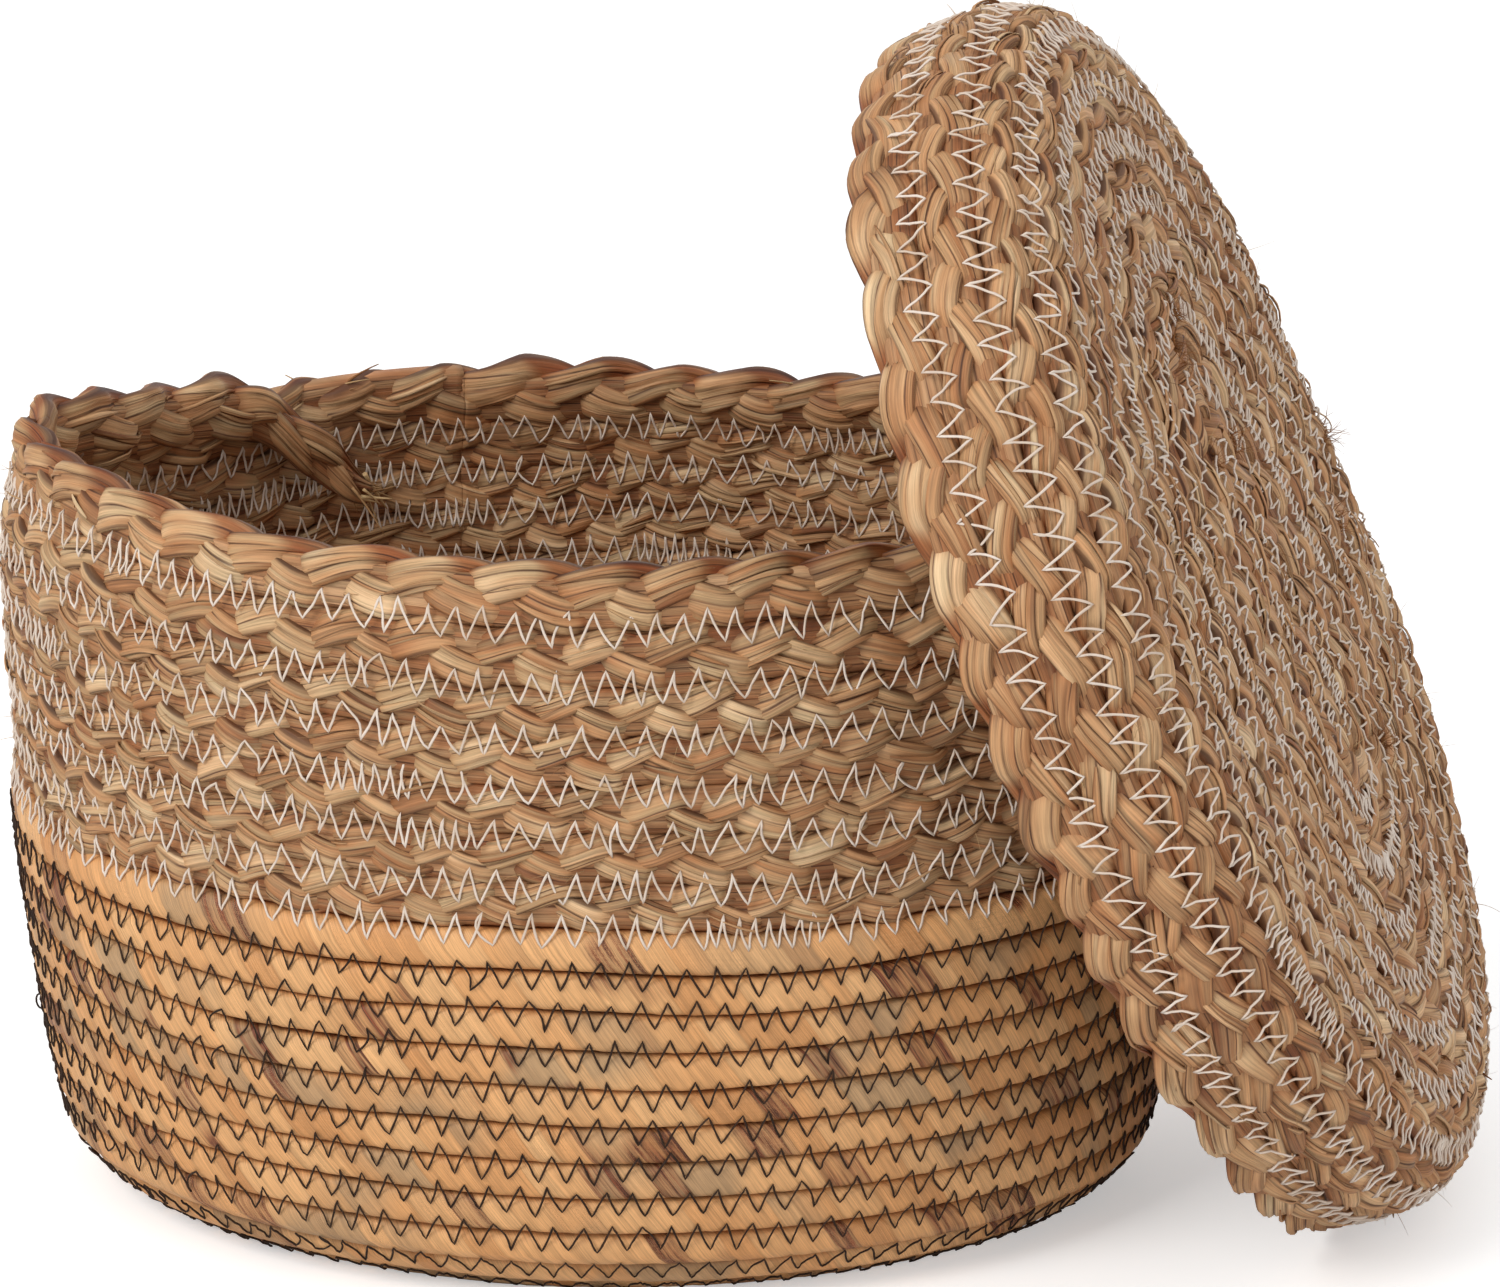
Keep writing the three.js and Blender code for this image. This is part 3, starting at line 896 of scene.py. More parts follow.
@dataclass(frozen=True)
class WrappedRope:
    """A rope wrapped in overlapping strips of leaf."""

    columns: int = 24
    spacing: float = 2.0
    overlap_step: float = 0.24  # how far a strip's edge stands off the next strip
    wrap_play: float = 0.12  # how far the strips wander from even turns, in strips
    lumps: float = 0.16
    lumps_around: int = 3
    sunk: float = 0.12  # how far the surface lies under the solid's, so that its lumps stay in it
    half_thickness: float = 6.0
    seam_gap: float = 0.1
    skin: float = 0.15

    def wrap(self, maker: MeshMaker, lay: Lay, seed: int) -> None:
        """Adds the rope.

        Args:
            maker: where it goes.
            lay: the row's place.
            seed: number of its random streams.
        """
        s = lay.marks(self.spacing)
        row = lay.profile(s)
        turn = 2.0 * np.pi * np.arange(self.columns) / self.columns - np.pi / 2
        v_share = signed_power(np.sin(turn), 2.0 / ROPE_SQUARENESS)
        w_share = signed_power(np.cos(turn), 2.0 / ROPE_SQUARENESS)
        mean = float(row.half.mean())
        outline = np.stack([v_share * mean, w_share * float(row.thick.mean()) / 2], axis=1)
        steps = np.linalg.norm(np.diff(outline, axis=0), axis=1)
        arc = np.concatenate([[0.0], np.cumsum(steps)])
        helix = (s[:, None] - STRIP_SLOPE * arc[None]) / STRIP_WIDTH
        helix = helix + self.wrap_play * wander(seed + 1, s, 33.0)
        lapped = self.overlap_step * (helix - np.floor(helix) - 0.5)
        spots = np.arange(self.columns) * self.lumps_around // self.columns
        lumps = self.lumps * wander(seed + 2, s, 26.0, self.lumps_around)[:, spots]
        swell = 1.0 + (lapped + lumps - self.sunk) / self.half_thickness
        reach = np.where(v_share[None] > 0.0, row.above[:, None], row.below[:, None]) - self.seam_gap
        v = v_share[None] * reach * np.minimum(swell, 1.0)
        w = w_share[None] * (row.thick[:, None] / 2 - self.skin) * swell
        key = np.full(v.shape, float(seed % 89))
        place = np.stack([s[:, None] + 0.0 * v, arc[None] + 0.0 * v, key], axis=-1)
        # How far each point stands out, which sets the painted shade in the grooves between the rows.
        lift = np.clip(np.abs(w) / (row.thick[:, None] / 2), 0.0, 1.0)
        maker.tube(lay.to_space(s, v, w), place, lift)


@dataclass(frozen=True)
class Stitching:
    """A zigzag of sewing thread over a seam."""

    pitch: float = 8.5
    height: float = 9.2
    radius: float = 0.45
    shape: RowShape = RowShape.PLAIT
    crowding: float = 0.0  # share of the seam where the stitches run close together
    unevenness: float = 0.17
    sunk: float = 0.5  # how deep the needle holes pull the thread in
    bow: float = 0.28  # how far a stitch bows by chance
    looseness: float = 1.3  # how much further a slack one bows
    slack_share: float = 0.07  # share of the stitches that are slack
    hook: float = 0.65  # how far every other stitch curves
    points: int = 7  # points on each leg of the zigzag
    sides: int = 5

    def sew_rows(self, maker: MeshMaker, winding: Winding, turns: range, seed: int) -> RowLay:
        """Sews some rows to the ones after them, in one run on each face.

        Args:
            maker: where the thread goes.
            winding: the rows' winding.
            turns: numbers of the rows.
            seed: first number of the winding's random streams.

        Returns:
            The seam.
        """
        end = turns.stop * STEPS
        if turns.stop == winding.last_row:
            end -= CLIMB_STEPS + TUCK_STEPS
        seam = RowLay(winding, turns.start * STEPS, end, seam=True)
        for face in Face:
            self.sew(maker, seam, face, seed + SEAM_STREAMS * turns.start + face.value, inset=0.5)
        return seam

    def sew(self, maker: MeshMaker, seam: Lay, face: Face, seed: int, inset: float) -> None:
        """Adds the zigzag on one face of a seam.

        Args:
            maker: where it goes.
            seam: the seam's place.
            face: the face that it lies on.
            seed: number of its random streams.
            inset: length left free at both ends.
        """
        rng = np.random.default_rng(seed)
        begin, end = seam.begin + inset, seam.end - inset
        count = int((end - begin) / self.pitch * 4) + 8
        rough = begin + np.arange(count) * self.pitch / 2
        crowd = 1.0
        if self.crowding > 0.0:
            close = wander(seed + 1, rough - begin, 55.0)[:, 0]
            crowd = np.where(close > np.quantile(close, 1.0 - self.crowding), 0.5, 1.0)
        gaps = self.pitch / 2 * crowd * (1.0 + self.unevenness * rng.normal(size=count)).clip(0.35, 1.7)
        tops = begin + np.cumsum(gaps)
        tops = tops[tops < end]
        if len(tops) < 3:
            return
        side = np.where(np.arange(len(tops)) % 2 == 0, 1.0, -1.0)
        reach = side * self.height / 2 * (1.0 + 0.10 * rng.normal(size=len(tops)))
        reach = reach + 0.45 * wander(seed + 2, tops - begin, 30.0)[:, 0]
        t = np.arange(self.points) / self.points
        eased = 0.9 * t + 0.1 * t * t * (3.0 - 2.0 * t)
        slack = self.bow + self.looseness * (rng.random((len(tops) - 1, 1)) < self.slack_share)
        hooked = self.hook * (np.arange(len(tops) - 1) % 2)[:, None]
        bow = (rng.normal(size=(len(tops) - 1, 1)) * slack + hooked) * np.sin(np.pi * t)[None]
        s = (tops[:-1, None] + np.diff(tops)[:, None] * t[None] + bow).ravel()
        v = (reach[:-1, None] + np.diff(reach)[:, None] * eased[None]).ravel()
        near_top = np.minimum(t, 1.0 - t)[None] * np.linalg.norm([self.pitch / 2, self.height])
        sunk = np.repeat(self.sunk * np.exp(-((near_top / 0.5) ** 2)), len(tops) - 1, axis=0).ravel()
        row = seam.profile(s)
        share = 1.0 - np.abs(v) / row.half
        surface = np.maximum(self.shape.bulge(share), self.shape.bridge)
        w = surface * row.thick / 2 + 0.85 * self.radius - sunk
        w = w + 0.10 * rng.normal(size=len(w))
        path = seam.to_space(s, v[:, None], face.value * w[:, None])[:, 0]
        lifted = seam.to_space(s, v[:, None], face.value * (w[:, None] + 1.0))[:, 0]
        radius = self.radius * (1.0 + 0.06 * rng.normal(size=len(w)))
        maker.wire(path, lifted - path, radius, self.sides, float(seed % 53))

    def loop(self, maker: MeshMaker, seam: Lay, place: float, width: float, reach: float) -> None:
        """Adds a slack loop of thread that stands off the outer face of a seam.

        Args:
            maker: where it goes.
            seam: the seam's place.
            place: where the loop leaves the seam, along it.
            width: how wide the loop is, across the seam.
            reach: how far it stands off.
        """
        turn = np.linspace(0.0, 2.0 * np.pi, 13)
        s = place + 0.3 * reach * np.sin(turn / 2)
        v = width / 2 * np.sin(turn)
        w = seam.profile(s).thick / 2 + reach / 2 * (1.0 - np.cos(turn)) - 0.3
        path = seam.to_space(s, v[:, None], w[:, None])[:, 0]
        along = seam.to_space(s + 1.0, v[:, None], w[:, None])[:, 0] - path
        maker.wire(path, along, np.full(len(turn), self.radius), self.sides, place)

    def sew_core(self, maker: MeshMaker, winding: Winding, seed: int) -> None:
        """Sews the core of a spiral to its first turn, and that turn to its tapered beginning.

        Args:
            maker: where the thread goes.
            winding: the spiral's winding.
            seed: first number of the random streams.
        """
        taper = RowLay(winding, TAPER_START + 1, STEPS, seam=True)
        for number, seam in enumerate((CoreLay(winding, 1), CoreLay(winding, -1), taper)):
            for face in Face:
                self.sew(maker, seam, face, seed + 3 * number + face.value, inset=0.5)


@dataclass(frozen=True)
class Straw:
    """Stray fibres that stand off a surface."""

    length: float
    radius: float
    curl: float = 0.5
    sides: int = 3
    points: int = 7

    def add(self, maker: MeshMaker, root: Array, way: Array, rng: np.random.Generator) -> None:
        """Adds one fibre.

        Args:
            maker: where it goes.
            root: its root, in millimetres.
            way: the direction that it starts in.
            rng: random stream.
        """
        length = self.length * rng.uniform(0.4, 1.3)
        t = np.linspace(0.0, 1.0, self.points)[:, None]
        way = way / np.linalg.norm(way)
        bend = np.cross(way, rng.normal(size=3))
        bend = bend / np.linalg.norm(bend) * self.curl * rng.uniform(0.2, 1.0)
        path = root + length * (way * t + bend * t**2)
        radius = self.radius * rng.uniform(0.7, 1.3) * (1.0 - 0.7 * t[:, 0])
        normals = np.repeat(bend[None] + 1e-3, self.points, axis=0)
        maker.wire(path, normals, radius, self.sides, rng.uniform(0.0, 40.0))

    def scatter(self, maker: MeshMaker, lay: Lay, count: int, flatness: float, seed: int) -> None:
        """Scatters fibres over both faces of a row.

        Args:
            maker: where they go.
            lay: the row's place.
            count: how many.
            flatness: 0 to stand straight off the row, 1 or more to lie along it.
            seed: number of the random stream.
        """
        rng = np.random.default_rng(seed)
        s = np.sort(rng.uniform(lay.begin + 2.0, lay.end - 2.0, count))
        row = lay.profile(s)
        v = row.middle + row.half * rng.uniform(-0.9, 0.9, count)
        w = np.where(rng.random(count) < 0.75, 1.0, -1.0) * row.thick / 2 * 0.85
        root = lay.to_space(s, v[:, None], w[:, None])[:, 0]
        out = lay.to_space(s, v[:, None], (w + np.sign(w))[:, None])[:, 0] - root
        along = lay.to_space(s + 1.0, v[:, None], w[:, None])[:, 0] - root
        for number in range(count):
            way = out[number] * rng.uniform(0.2, 1.0) + along[number] * rng.normal() * flatness
            self.add(maker, root[number], way, rng)


def linear(colour: str) -> Colour:
    """Scene colour of a written hex colour.

    Args:
        colour: its six hex digits.

    Returns:
        Red, green, blue and 1.
    """
    parts = [int(colour[i : i + 2], 16) / 255.0 for i in (0, 2, 4)]
    red, green, blue = (c / 12.92 if c <= 0.04045 else ((c + 0.055) / 1.055) ** 2.4 for c in parts)
    return red, green, blue, 1.0


class Kind(Enum):
    """Types of a node group's sockets."""

    NUMBER = "NodeSocketFloat"
    VECTOR = "NodeSocketVector"
    COLOUR = "NodeSocketColor"


class NodeDesk:
    """Adds nodes to a tree and joins them."""

    def __init__(self, tree: bpy.types.NodeTree) -> None:
        """Works on one tree."""
        self.tree = tree

    def feed(self, node: Node, inputs: Inputs) -> None:
        """Gives a node its inputs.

        Args:
            node: the node.
            inputs: value or source of each input, by name or number.
        """
        for key, value in inputs.items():
            if isinstance(value, bpy.types.NodeSocket):
                self.tree.links.new(value, node.inputs[key])
            else:
                node.inputs[key].default_value = value

    def add(self, kind: str, inputs: Optional[Inputs] = None, **settings: object) -> Node:
        """Adds a node.

        Args:
            kind: its type.
            inputs: value or source of each input, by name or number.
            settings: its own settings.

        Returns:
            The node.
        """
        node = self.tree.nodes.new(kind)
        for key, value in settings.items():
            setattr(node, key, value)
        self.feed(node, inputs or {})
        return node

    def lay(self) -> Socket:
        """The place on the rope that a point belongs to."""
        return self.add("ShaderNodeAttribute", attribute_name="lay").outputs["Vector"]

    def lift(self) -> Socket:
        """How far a point stands out of its row, from 0 to 1, which sets its painted recess shade."""
        return self.add("ShaderNodeAttribute", attribute_name="lift").outputs["Fac"]

    def group(self, tree: bpy.types.NodeTree, inputs: Inputs) -> Node:
        """Places a node group."""
        return self.add("ShaderNodeGroup", inputs, node_tree=tree)

    def math(self, operation: str, first: Value, second: Value = 0.0, third: Value = 0.0) -> Socket:
        """Adds a Math node and gives its result."""
        return self.add("ShaderNodeMath", {0: first, 1: second, 2: third}, operation=operation).outputs[0]

    def split(self, vector: Socket) -> tuple[Socket, ...]:
        """The three values of a vector."""
        return tuple(self.add("ShaderNodeSeparateXYZ", {0: vector}).outputs)

    def vector(self, x: Value = 0.0, y: Value = 0.0, z: Value = 0.0) -> Socket:
        """Joins three values to a vector."""
        return self.add("ShaderNodeCombineXYZ", {0: x, 1: y, 2: z}).outputs[0]

    def noise(self, place: Socket, detail: Value, roughness: float = 0.5, scale: float = 1.0) -> Socket:
        """Adds a Noise Texture and gives its value."""
        inputs = {"Vector": place, "Scale": scale, "Detail": detail, "Roughness": roughness}
        return self.add("ShaderNodeTexNoise", inputs).outputs[0]

    def span(
        self, source: Value, start: tuple[Value, Value], end: Pair = (0.0, 1.0), ease: str = "LINEAR"
    ) -> Socket:
        """Carries a value over from one range to another, and keeps it inside that one.

        Args:
            source: the value.
            start: the range that it comes from.
            end: the range that it goes to.
            ease: LINEAR, or SMOOTHSTEP for an eased way.

        Returns:
            The new value.
        """
        inputs = {0: source, 1: start[0], 2: start[1], 3: end[0], 4: end[1]}
        return self.add("ShaderNodeMapRange", inputs, interpolation_type=ease).outputs[0]

    def bump(self, height: Socket, strength: float, distance: float) -> Socket:
        """Adds a Bump node and gives its normal."""
        inputs = {"Strength": strength, "Distance": distance, "Height": height}
        return self.add("ShaderNodeBump", inputs).outputs[0]

    def ramp(self, source: Socket, stops: Sequence[tuple[float, str]]) -> Socket:
        """Adds a colour ramp.

        Args:
            source: the value that chooses the colour.
            stops: place and written hex colour of each stop.

        Returns:
            The chosen colour.
        """
        node = self.add("ShaderNodeValToRGB", {0: source})
        elements = node.color_ramp.elements
        while len(elements) < len(stops):
            elements.new(0.5)
        for element, (place, colour) in zip(elements, stops):
            element.position = place
            element.color = linear(colour)
        return node.outputs[0]

    def mix(self, share: Value, first: Value, second: Value, blend: str = "MIX") -> Socket:
        """Mixes two colours.

        Args:
            share: share of the second colour.
            first: the first colour.
            second: the second colour.
            blend: how they are mixed.

        Returns:
            The mixed colour.
        """
        inputs = {MIX_SHARE: share, MIX_FIRST: first, MIX_SECOND: second}
        return self.add("ShaderNodeMix", inputs, data_type="RGBA", blend_type=blend).outputs[MIX_RESULT]

    def shaded(self, colour: Value, by: Value) -> Socket:
        """Multiplies a colour by a shade."""
        return self.mix(1.0, colour, by, "MULTIPLY")


class Effects:
    """Shader node groups that several finishes share."""

    def __init__(self) -> None:
        """Builds each group once."""
        self.grain = self._grain()
        self.drift = self._drift()
        self.recess = self._recess()
        self.strips = self._strips()
        self.leaves = self._leaves()

    def fibres(self, desk: NodeDesk, lay: Socket, length: float, width: float, detail: float) -> Socket:
        """Places the fibre grain in a material and gives its value."""
        inputs = {"Lay": lay, "Length": length, "Width": width, "Detail": detail}
        return desk.group(self.grain, inputs).outputs["Grain"]

    def hollows(self, desk: NodeDesk, clear: float, colour: str) -> Socket:
        """Places the painted recess shade in a material and gives its colour."""
        inputs = {"Lift": desk.lift(), "Deep": 0.1, "Clear": clear, "Deep colour": linear(colour)}
        return desk.group(self.recess, inputs).outputs["Shade"]

    @staticmethod
    def _start(
        name: str, inputs: dict[str, tuple[Kind, object]], outputs: dict[str, Kind]
    ) -> tuple[NodeDesk, Node, Node]:
        """Starts a group with its sockets.

        Args:
            name: name of the group.
            inputs: socket type and default of each input.
            outputs: socket type of each output.

        Returns:
            The desk, the input node and the output node.
        """
        tree = bpy.data.node_groups.new(name, "ShaderNodeTree")
        for key, (kind, value) in inputs.items():
            socket = tree.interface.new_socket(key, in_out="INPUT", socket_type=kind.value)
            if value is not None:
                socket.default_value = value
        for key, kind in outputs.items():
            tree.interface.new_socket(key, in_out="OUTPUT", socket_type=kind.value)
        desk = NodeDesk(tree)
        return desk, desk.add("NodeGroupInput"), desk.add("NodeGroupOutput")

    def _grain(self) -> bpy.types.NodeTree:
        """Fine fibre lines that run along a strand.

        Returns:
            The group.
        """
        desk, given, out = self._start(
            "Fibre grain",
            {
                "Lay": (Kind.VECTOR, None),
                "Length": (Kind.NUMBER, 30.0),
                "Width": (Kind.NUMBER, 0.6),
                "Detail": (Kind.NUMBER, 4.0),
            },
            {"Grain": Kind.NUMBER},
        )
        along, across, key = desk.split(given.outputs["Lay"])
        place = desk.vector(
            desk.math("DIVIDE", along, given.outputs["Length"]),
            desk.math("DIVIDE", across, given.outputs["Width"]),
            desk.math("MULTIPLY", key, 7.31),
        )
        desk.feed(out, {"Grain": desk.noise(place, given.outputs["Detail"], roughness=0.62)})
        return desk.tree

    def _drift(self) -> bpy.types.NodeTree:
        """Slow change of tone along a strand, and its patches.

        Returns:
            The group.
        """
        desk, given, out = self._start(
            "Tone drift",
            {"Lay": (Kind.VECTOR, None), "Reach": (Kind.NUMBER, 90.0)},
            {"Tone": Kind.NUMBER, "Patch": Kind.NUMBER},
        )
        along, across, key = desk.split(given.outputs["Lay"])
        slow = desk.math("DIVIDE", along, given.outputs["Reach"])
        for name, shift, width in (("Tone", 3.7, 9.0), ("Patch", 11.9, 3.5)):
            place = desk.vector(slow, desk.math("DIVIDE", across, width), desk.math("MULTIPLY", key, shift))
            desk.feed(out, {name: desk.span(desk.noise(place, 2.0, scale=1.6), (0.28, 0.72))})
        return desk.tree

    def _recess(self) -> bpy.types.NodeTree:
        """Painted shade: darkening of what lies deep between the strands.

        Returns:
            The group.
        """
        desk, given, out = self._start(
            "Recess shade",
            {
                "Lift": (Kind.NUMBER, 1.0),
                "Deep": (Kind.NUMBER, 0.2),
                "Clear": (Kind.NUMBER, 0.8),
                "Deep colour": (Kind.COLOUR, (0.4, 0.25, 0.15, 1.0)),
            },
            {"Shade": Kind.COLOUR},
        )
        start = (given.outputs["Deep"], given.outputs["Clear"])
        clear = desk.span(given.outputs["Lift"], start, ease="SMOOTHSTEP")
        desk.feed(out, {"Shade": desk.mix(clear, given.outputs["Deep colour"], WHITE)})
        return desk.tree

    def _leaves(self) -> bpy.types.NodeTree:
        """Leaves side by side: each leaf's own place for its grain, and painted shade in the creases and
        along the strand's edges.

        Returns:
            The group.
        """
        desk, given, out = self._start(
            "Side by side leaves",
            {"Lay": (Kind.VECTOR, None), "Leaf width": (Kind.NUMBER, 2.4)},
            {"Own": Kind.VECTOR, "Crease shade": Kind.NUMBER},
        )
        along, around, key = desk.split(given.outputs["Lay"])
        number = desk.math("FLOOR", around)
        share = desk.math("SUBTRACT", around, number)
        across = desk.math("MULTIPLY", share, given.outputs["Leaf width"])
        own = desk.vector(along, across, desk.math("MULTIPLY_ADD", number, 1.37, key))
        # Painted shade in the creases between leaves, deeper in some than in others.
        near = desk.math("MINIMUM", share, desk.math("SUBTRACT", 1.0, share))
        crease = desk.span(near, (0.02, 0.12), (1.0, 0.0))
        own_crease = desk.math("MULTIPLY", desk.math("ROUND", around), 3.1)
        slow = desk.vector(desk.math("DIVIDE", along, 16.0), own_crease, key)
        depth = desk.span(desk.noise(slow, 1.0), (0.38, 0.6), (0.1, 1.0))
        uneven = desk.math("MULTIPLY", crease, depth)
        # Painted contact shadow along the strand's two edges.
        face = desk.math("DIVIDE", around, float(LEAVES_ON_A_FACE))
        off = desk.math("ABSOLUTE", desk.math("SUBTRACT", face, desk.math("ROUND", face)))
        edge = desk.span(off, (0.008, 0.07), (0.9, 0.0))
        desk.feed(out, {"Own": own, "Crease shade": desk.math("MAXIMUM", uneven, edge)})
        return desk.tree

    def _strips(self) -> bpy.types.NodeTree:
        """Strips of leaf wound round a rope: each strip's own number, its edges and its lines.

        Returns:
            The group.
        """
        desk, given, out = self._start(
            "Leaf strips",
            {
                "Lay": (Kind.VECTOR, None),
                "Strip width": (Kind.NUMBER, STRIP_WIDTH),
                "Slope": (Kind.NUMBER, STRIP_SLOPE),
                "Unevenness": (Kind.NUMBER, 0.5),
            },
            {
                "Shade": Kind.NUMBER,
                "Tint": Kind.NUMBER,
                "Edge": Kind.NUMBER,
                "Across": Kind.NUMBER,
                "Lines": Kind.VECTOR,
            },
        )
        along, around, key = desk.split(given.outputs["Lay"])
        helix = desk.math("SUBTRACT", along, desk.math("MULTIPLY", around, given.outputs["Slope"]))
        slow = desk.noise(desk.vector(desk.math("DIVIDE", helix, 34.0), z=key), 1.0)
        uneven = desk.math("MULTIPLY", desk.math("SUBTRACT", slow, 0.5), given.outputs["Unevenness"])
        wound = desk.math("DIVIDE", helix, given.outputs["Strip width"])
        count = desk.math("ADD", wound, desk.math("MULTIPLY", uneven, 4.0))
        cell = desk.math("FLOOR", count)
        across = desk.math("SUBTRACT", count, cell)
        for name, shift in (("Shade", 0.0), ("Tint", 31.7)):
            place = desk.vector(cell, desk.math("ADD", key, shift))
            random = desk.add("ShaderNodeTexWhiteNoise", {"Vector": place}, noise_dimensions="3D")
            desk.feed(out, {name: random.outputs[0]})
        near = desk.math("MINIMUM", across, desk.math("SUBTRACT", 1.0, across))
        edge = desk.span(near, (0.0, 0.07), (1.0, 0.0))
        desk.feed(out, {"Edge": edge, "Across": across, "Lines": desk.vector(around, helix, cell)})
        return desk.tree


def new_material(name: str) -> tuple[bpy.types.Material, NodeDesk, Node]:
    """Starts a material.

    Args:
        name: its name.

    Returns:
        The material, a desk on its nodes and its Principled node.
    """
    material = bpy.data.materials.new(name)
    material.use_nodes = True
    surface = material.node_tree.nodes["Principled BSDF"]
    return material, NodeDesk(material.node_tree), surface


@dataclass(frozen=True)
class PlaitFinish:
    """Dry plaited leaf."""

    name: str
    dark: str = "865230"
    brown: str = "b57d50"
    tan: str = "cb9a6c"
    pale: str = "e8c69b"
    green: str = "b8a47c"
    green_share: float = 0.45
    # colour of the painted shade deep between the strands
    deep: str = "c59a7c"
    # colour of the painted shade in the creases between leaves and along the strand's edges
    line: str = "63402a"
    leaf_share: float = 0.45  # share of a leaf's own tone, the rest being its strand's
    fibre_shades: Pair = (0.70, 1.17)  # darkest and lightest fibre line
    fold_shades: Pair = (0.70, 1.04)  # darkest and lightest fold
    crease_share: float = 0.9  # how far the painted shade in a crease or at a strand's edge takes on the line colour
    roughness: Pair = (0.7, 0.46)  # of the lowest and the highest fibre

    def build(self, effects: Effects) -> bpy.types.Material:
        """Makes the material.

        Args:
            effects: the shared node groups.

        Returns:
            The material.
        """
        material, desk, surface = new_material(self.name)
        lay = desk.lay()
        leaves = desk.group(effects.leaves, {"Lay": lay})
        own = leaves.outputs["Own"]
        fine = effects.fibres(desk, own, length=24.0, width=0.30, detail=5.0)
        coarse = effects.fibres(desk, own, length=34.0, width=1.0, detail=2.0)
        strand = desk.group(effects.drift, {"Lay": lay, "Reach": 80.0})
        leaf = desk.group(effects.drift, {"Lay": own, "Reach": 55.0})
        shared = desk.mix(self.leaf_share, strand.outputs["Tone"], leaf.outputs["Tone"])
        tone = desk.ramp(shared, ((0.13, self.dark), (0.35, self.brown), (0.57, self.tan), (0.86, self.pale)))
        green = desk.math("MULTIPLY", desk.span(leaf.outputs["Patch"], (0.35, 0.8)), self.green_share)
        colour = desk.mix(green, tone, linear(self.green))
        colour = desk.shaded(colour, desk.span(fine, (0.32, 0.68), self.fibre_shades))
        colour = desk.shaded(colour, desk.span(coarse, (0.32, 0.5), self.fold_shades))
        # Painted shade in the creases between leaves and painted contact shadow along the strand's edges.
        creased = desk.math("MULTIPLY", leaves.outputs["Crease shade"], self.crease_share)
        colour = desk.mix(creased, colour, desk.shaded(colour, linear(self.line)))
        # Painted shade deep between the strands, and on the core.
        colour = desk.shaded(colour, effects.hollows(desk, 0.74, self.deep))
        height = desk.math("MULTIPLY_ADD", coarse, 1.4, fine)
        desk.feed(
            surface,
            {
                "Base Color": colour,
                "Roughness": desk.span(fine, (0.3, 0.7), self.roughness),
                "Normal": desk.bump(height, strength=0.8, distance=0.0005),
                "Specular IOR Level": 0.4,
            },
        )
        return material


@dataclass(frozen=True)
class LeafFinish:
    """Smooth strips of dried leaf wound round a rope."""

    name: str
    honey: str = "dea268"
    straw: str = "e8b47c"
    amber: str = "c98c55"
    grey: str = "b3926c"
    red: str = "8c4a2c"
    dark: str = "482414"
    # colour of the painted shade in the grooves between the rows
    deep: str = "b98a66"
    grey_share: float = 0.8
    stain_edge: Pair = (0.61, 0.64)  # a strip is stained from here on
    line_shades: Pair = (0.64, 1.08)  # darkest and lightest fibre line
    vein_shades: Pair = (0.84, 1.10)  # darkest and lightest vein
    edge_shade: float = -0.18  # how much a strip darkens towards its edges

    def build(self, effects: Effects) -> bpy.types.Material:
        """Makes the material.

        Args:
            effects: the shared node groups.

        Returns:
            The material.
        """
        material, desk, surface = new_material(self.name)
        lay = desk.lay()
        inputs = {"Lay": lay, "Strip width": STRIP_WIDTH, "Slope": STRIP_SLOPE, "Unevenness": 0.9}
        strips = desk.group(effects.strips, inputs).outputs
        lines = effects.fibres(desk, strips["Lines"], length=16.0, width=0.36, detail=5.0)
        veins = effects.fibres(desk, strips["Lines"], length=26.0, width=1.9, detail=3.0)
        area = effects.fibres(desk, lay, length=45.0, width=60.0, detail=1.0)
        stops = ((0.0, self.amber), (0.2, self.honey), (0.7, self.straw), (1.0, self.honey))
        plain = desk.ramp(strips["Shade"], stops)
        greyed = desk.math("MULTIPLY", desk.span(area, (0.5, 0.62)), desk.span(strips["Tint"], (0.2, 0.5)))
        colour = desk.mix(desk.math("MULTIPLY", greyed, self.grey_share), plain, linear(self.grey))
        chosen = desk.math("ADD", strips["Tint"], desk.math("MULTIPLY", area, -0.5))
        streak = desk.math("MULTIPLY_ADD", desk.span(veins, (0.40, 0.60)), 0.75, 0.25)
        rusty = desk.math("MULTIPLY", desk.span(chosen, self.stain_edge), streak)
        stained = desk.mix(desk.span(lines, (0.40, 0.62)), linear(self.dark), linear(self.red))
        colour = desk.mix(rusty, colour, stained)
        colour = desk.shaded(colour, desk.span(lines, (0.3, 0.6), self.line_shades))
        colour = desk.shaded(colour, desk.span(veins, (0.3, 0.7), self.vein_shades))
        colour = desk.shaded(colour, desk.math("MULTIPLY_ADD", strips["Edge"], self.edge_shade, 1.0))
        # Painted shade in the grooves between the rows.
        colour = desk.shaded(colour, effects.hollows(desk, 0.7, self.deep))
        height = desk.math("MULTIPLY_ADD", strips["Across"], 0.6, desk.math("MULTIPLY", lines, 0.9))
        desk.feed(
            surface,
            {
                "Base Color": colour,
                "Roughness": 0.52,
                "Normal": desk.bump(height, strength=0.55, distance=0.0004),
                "Specular IOR Level": 0.4,
            },
        )
        return material


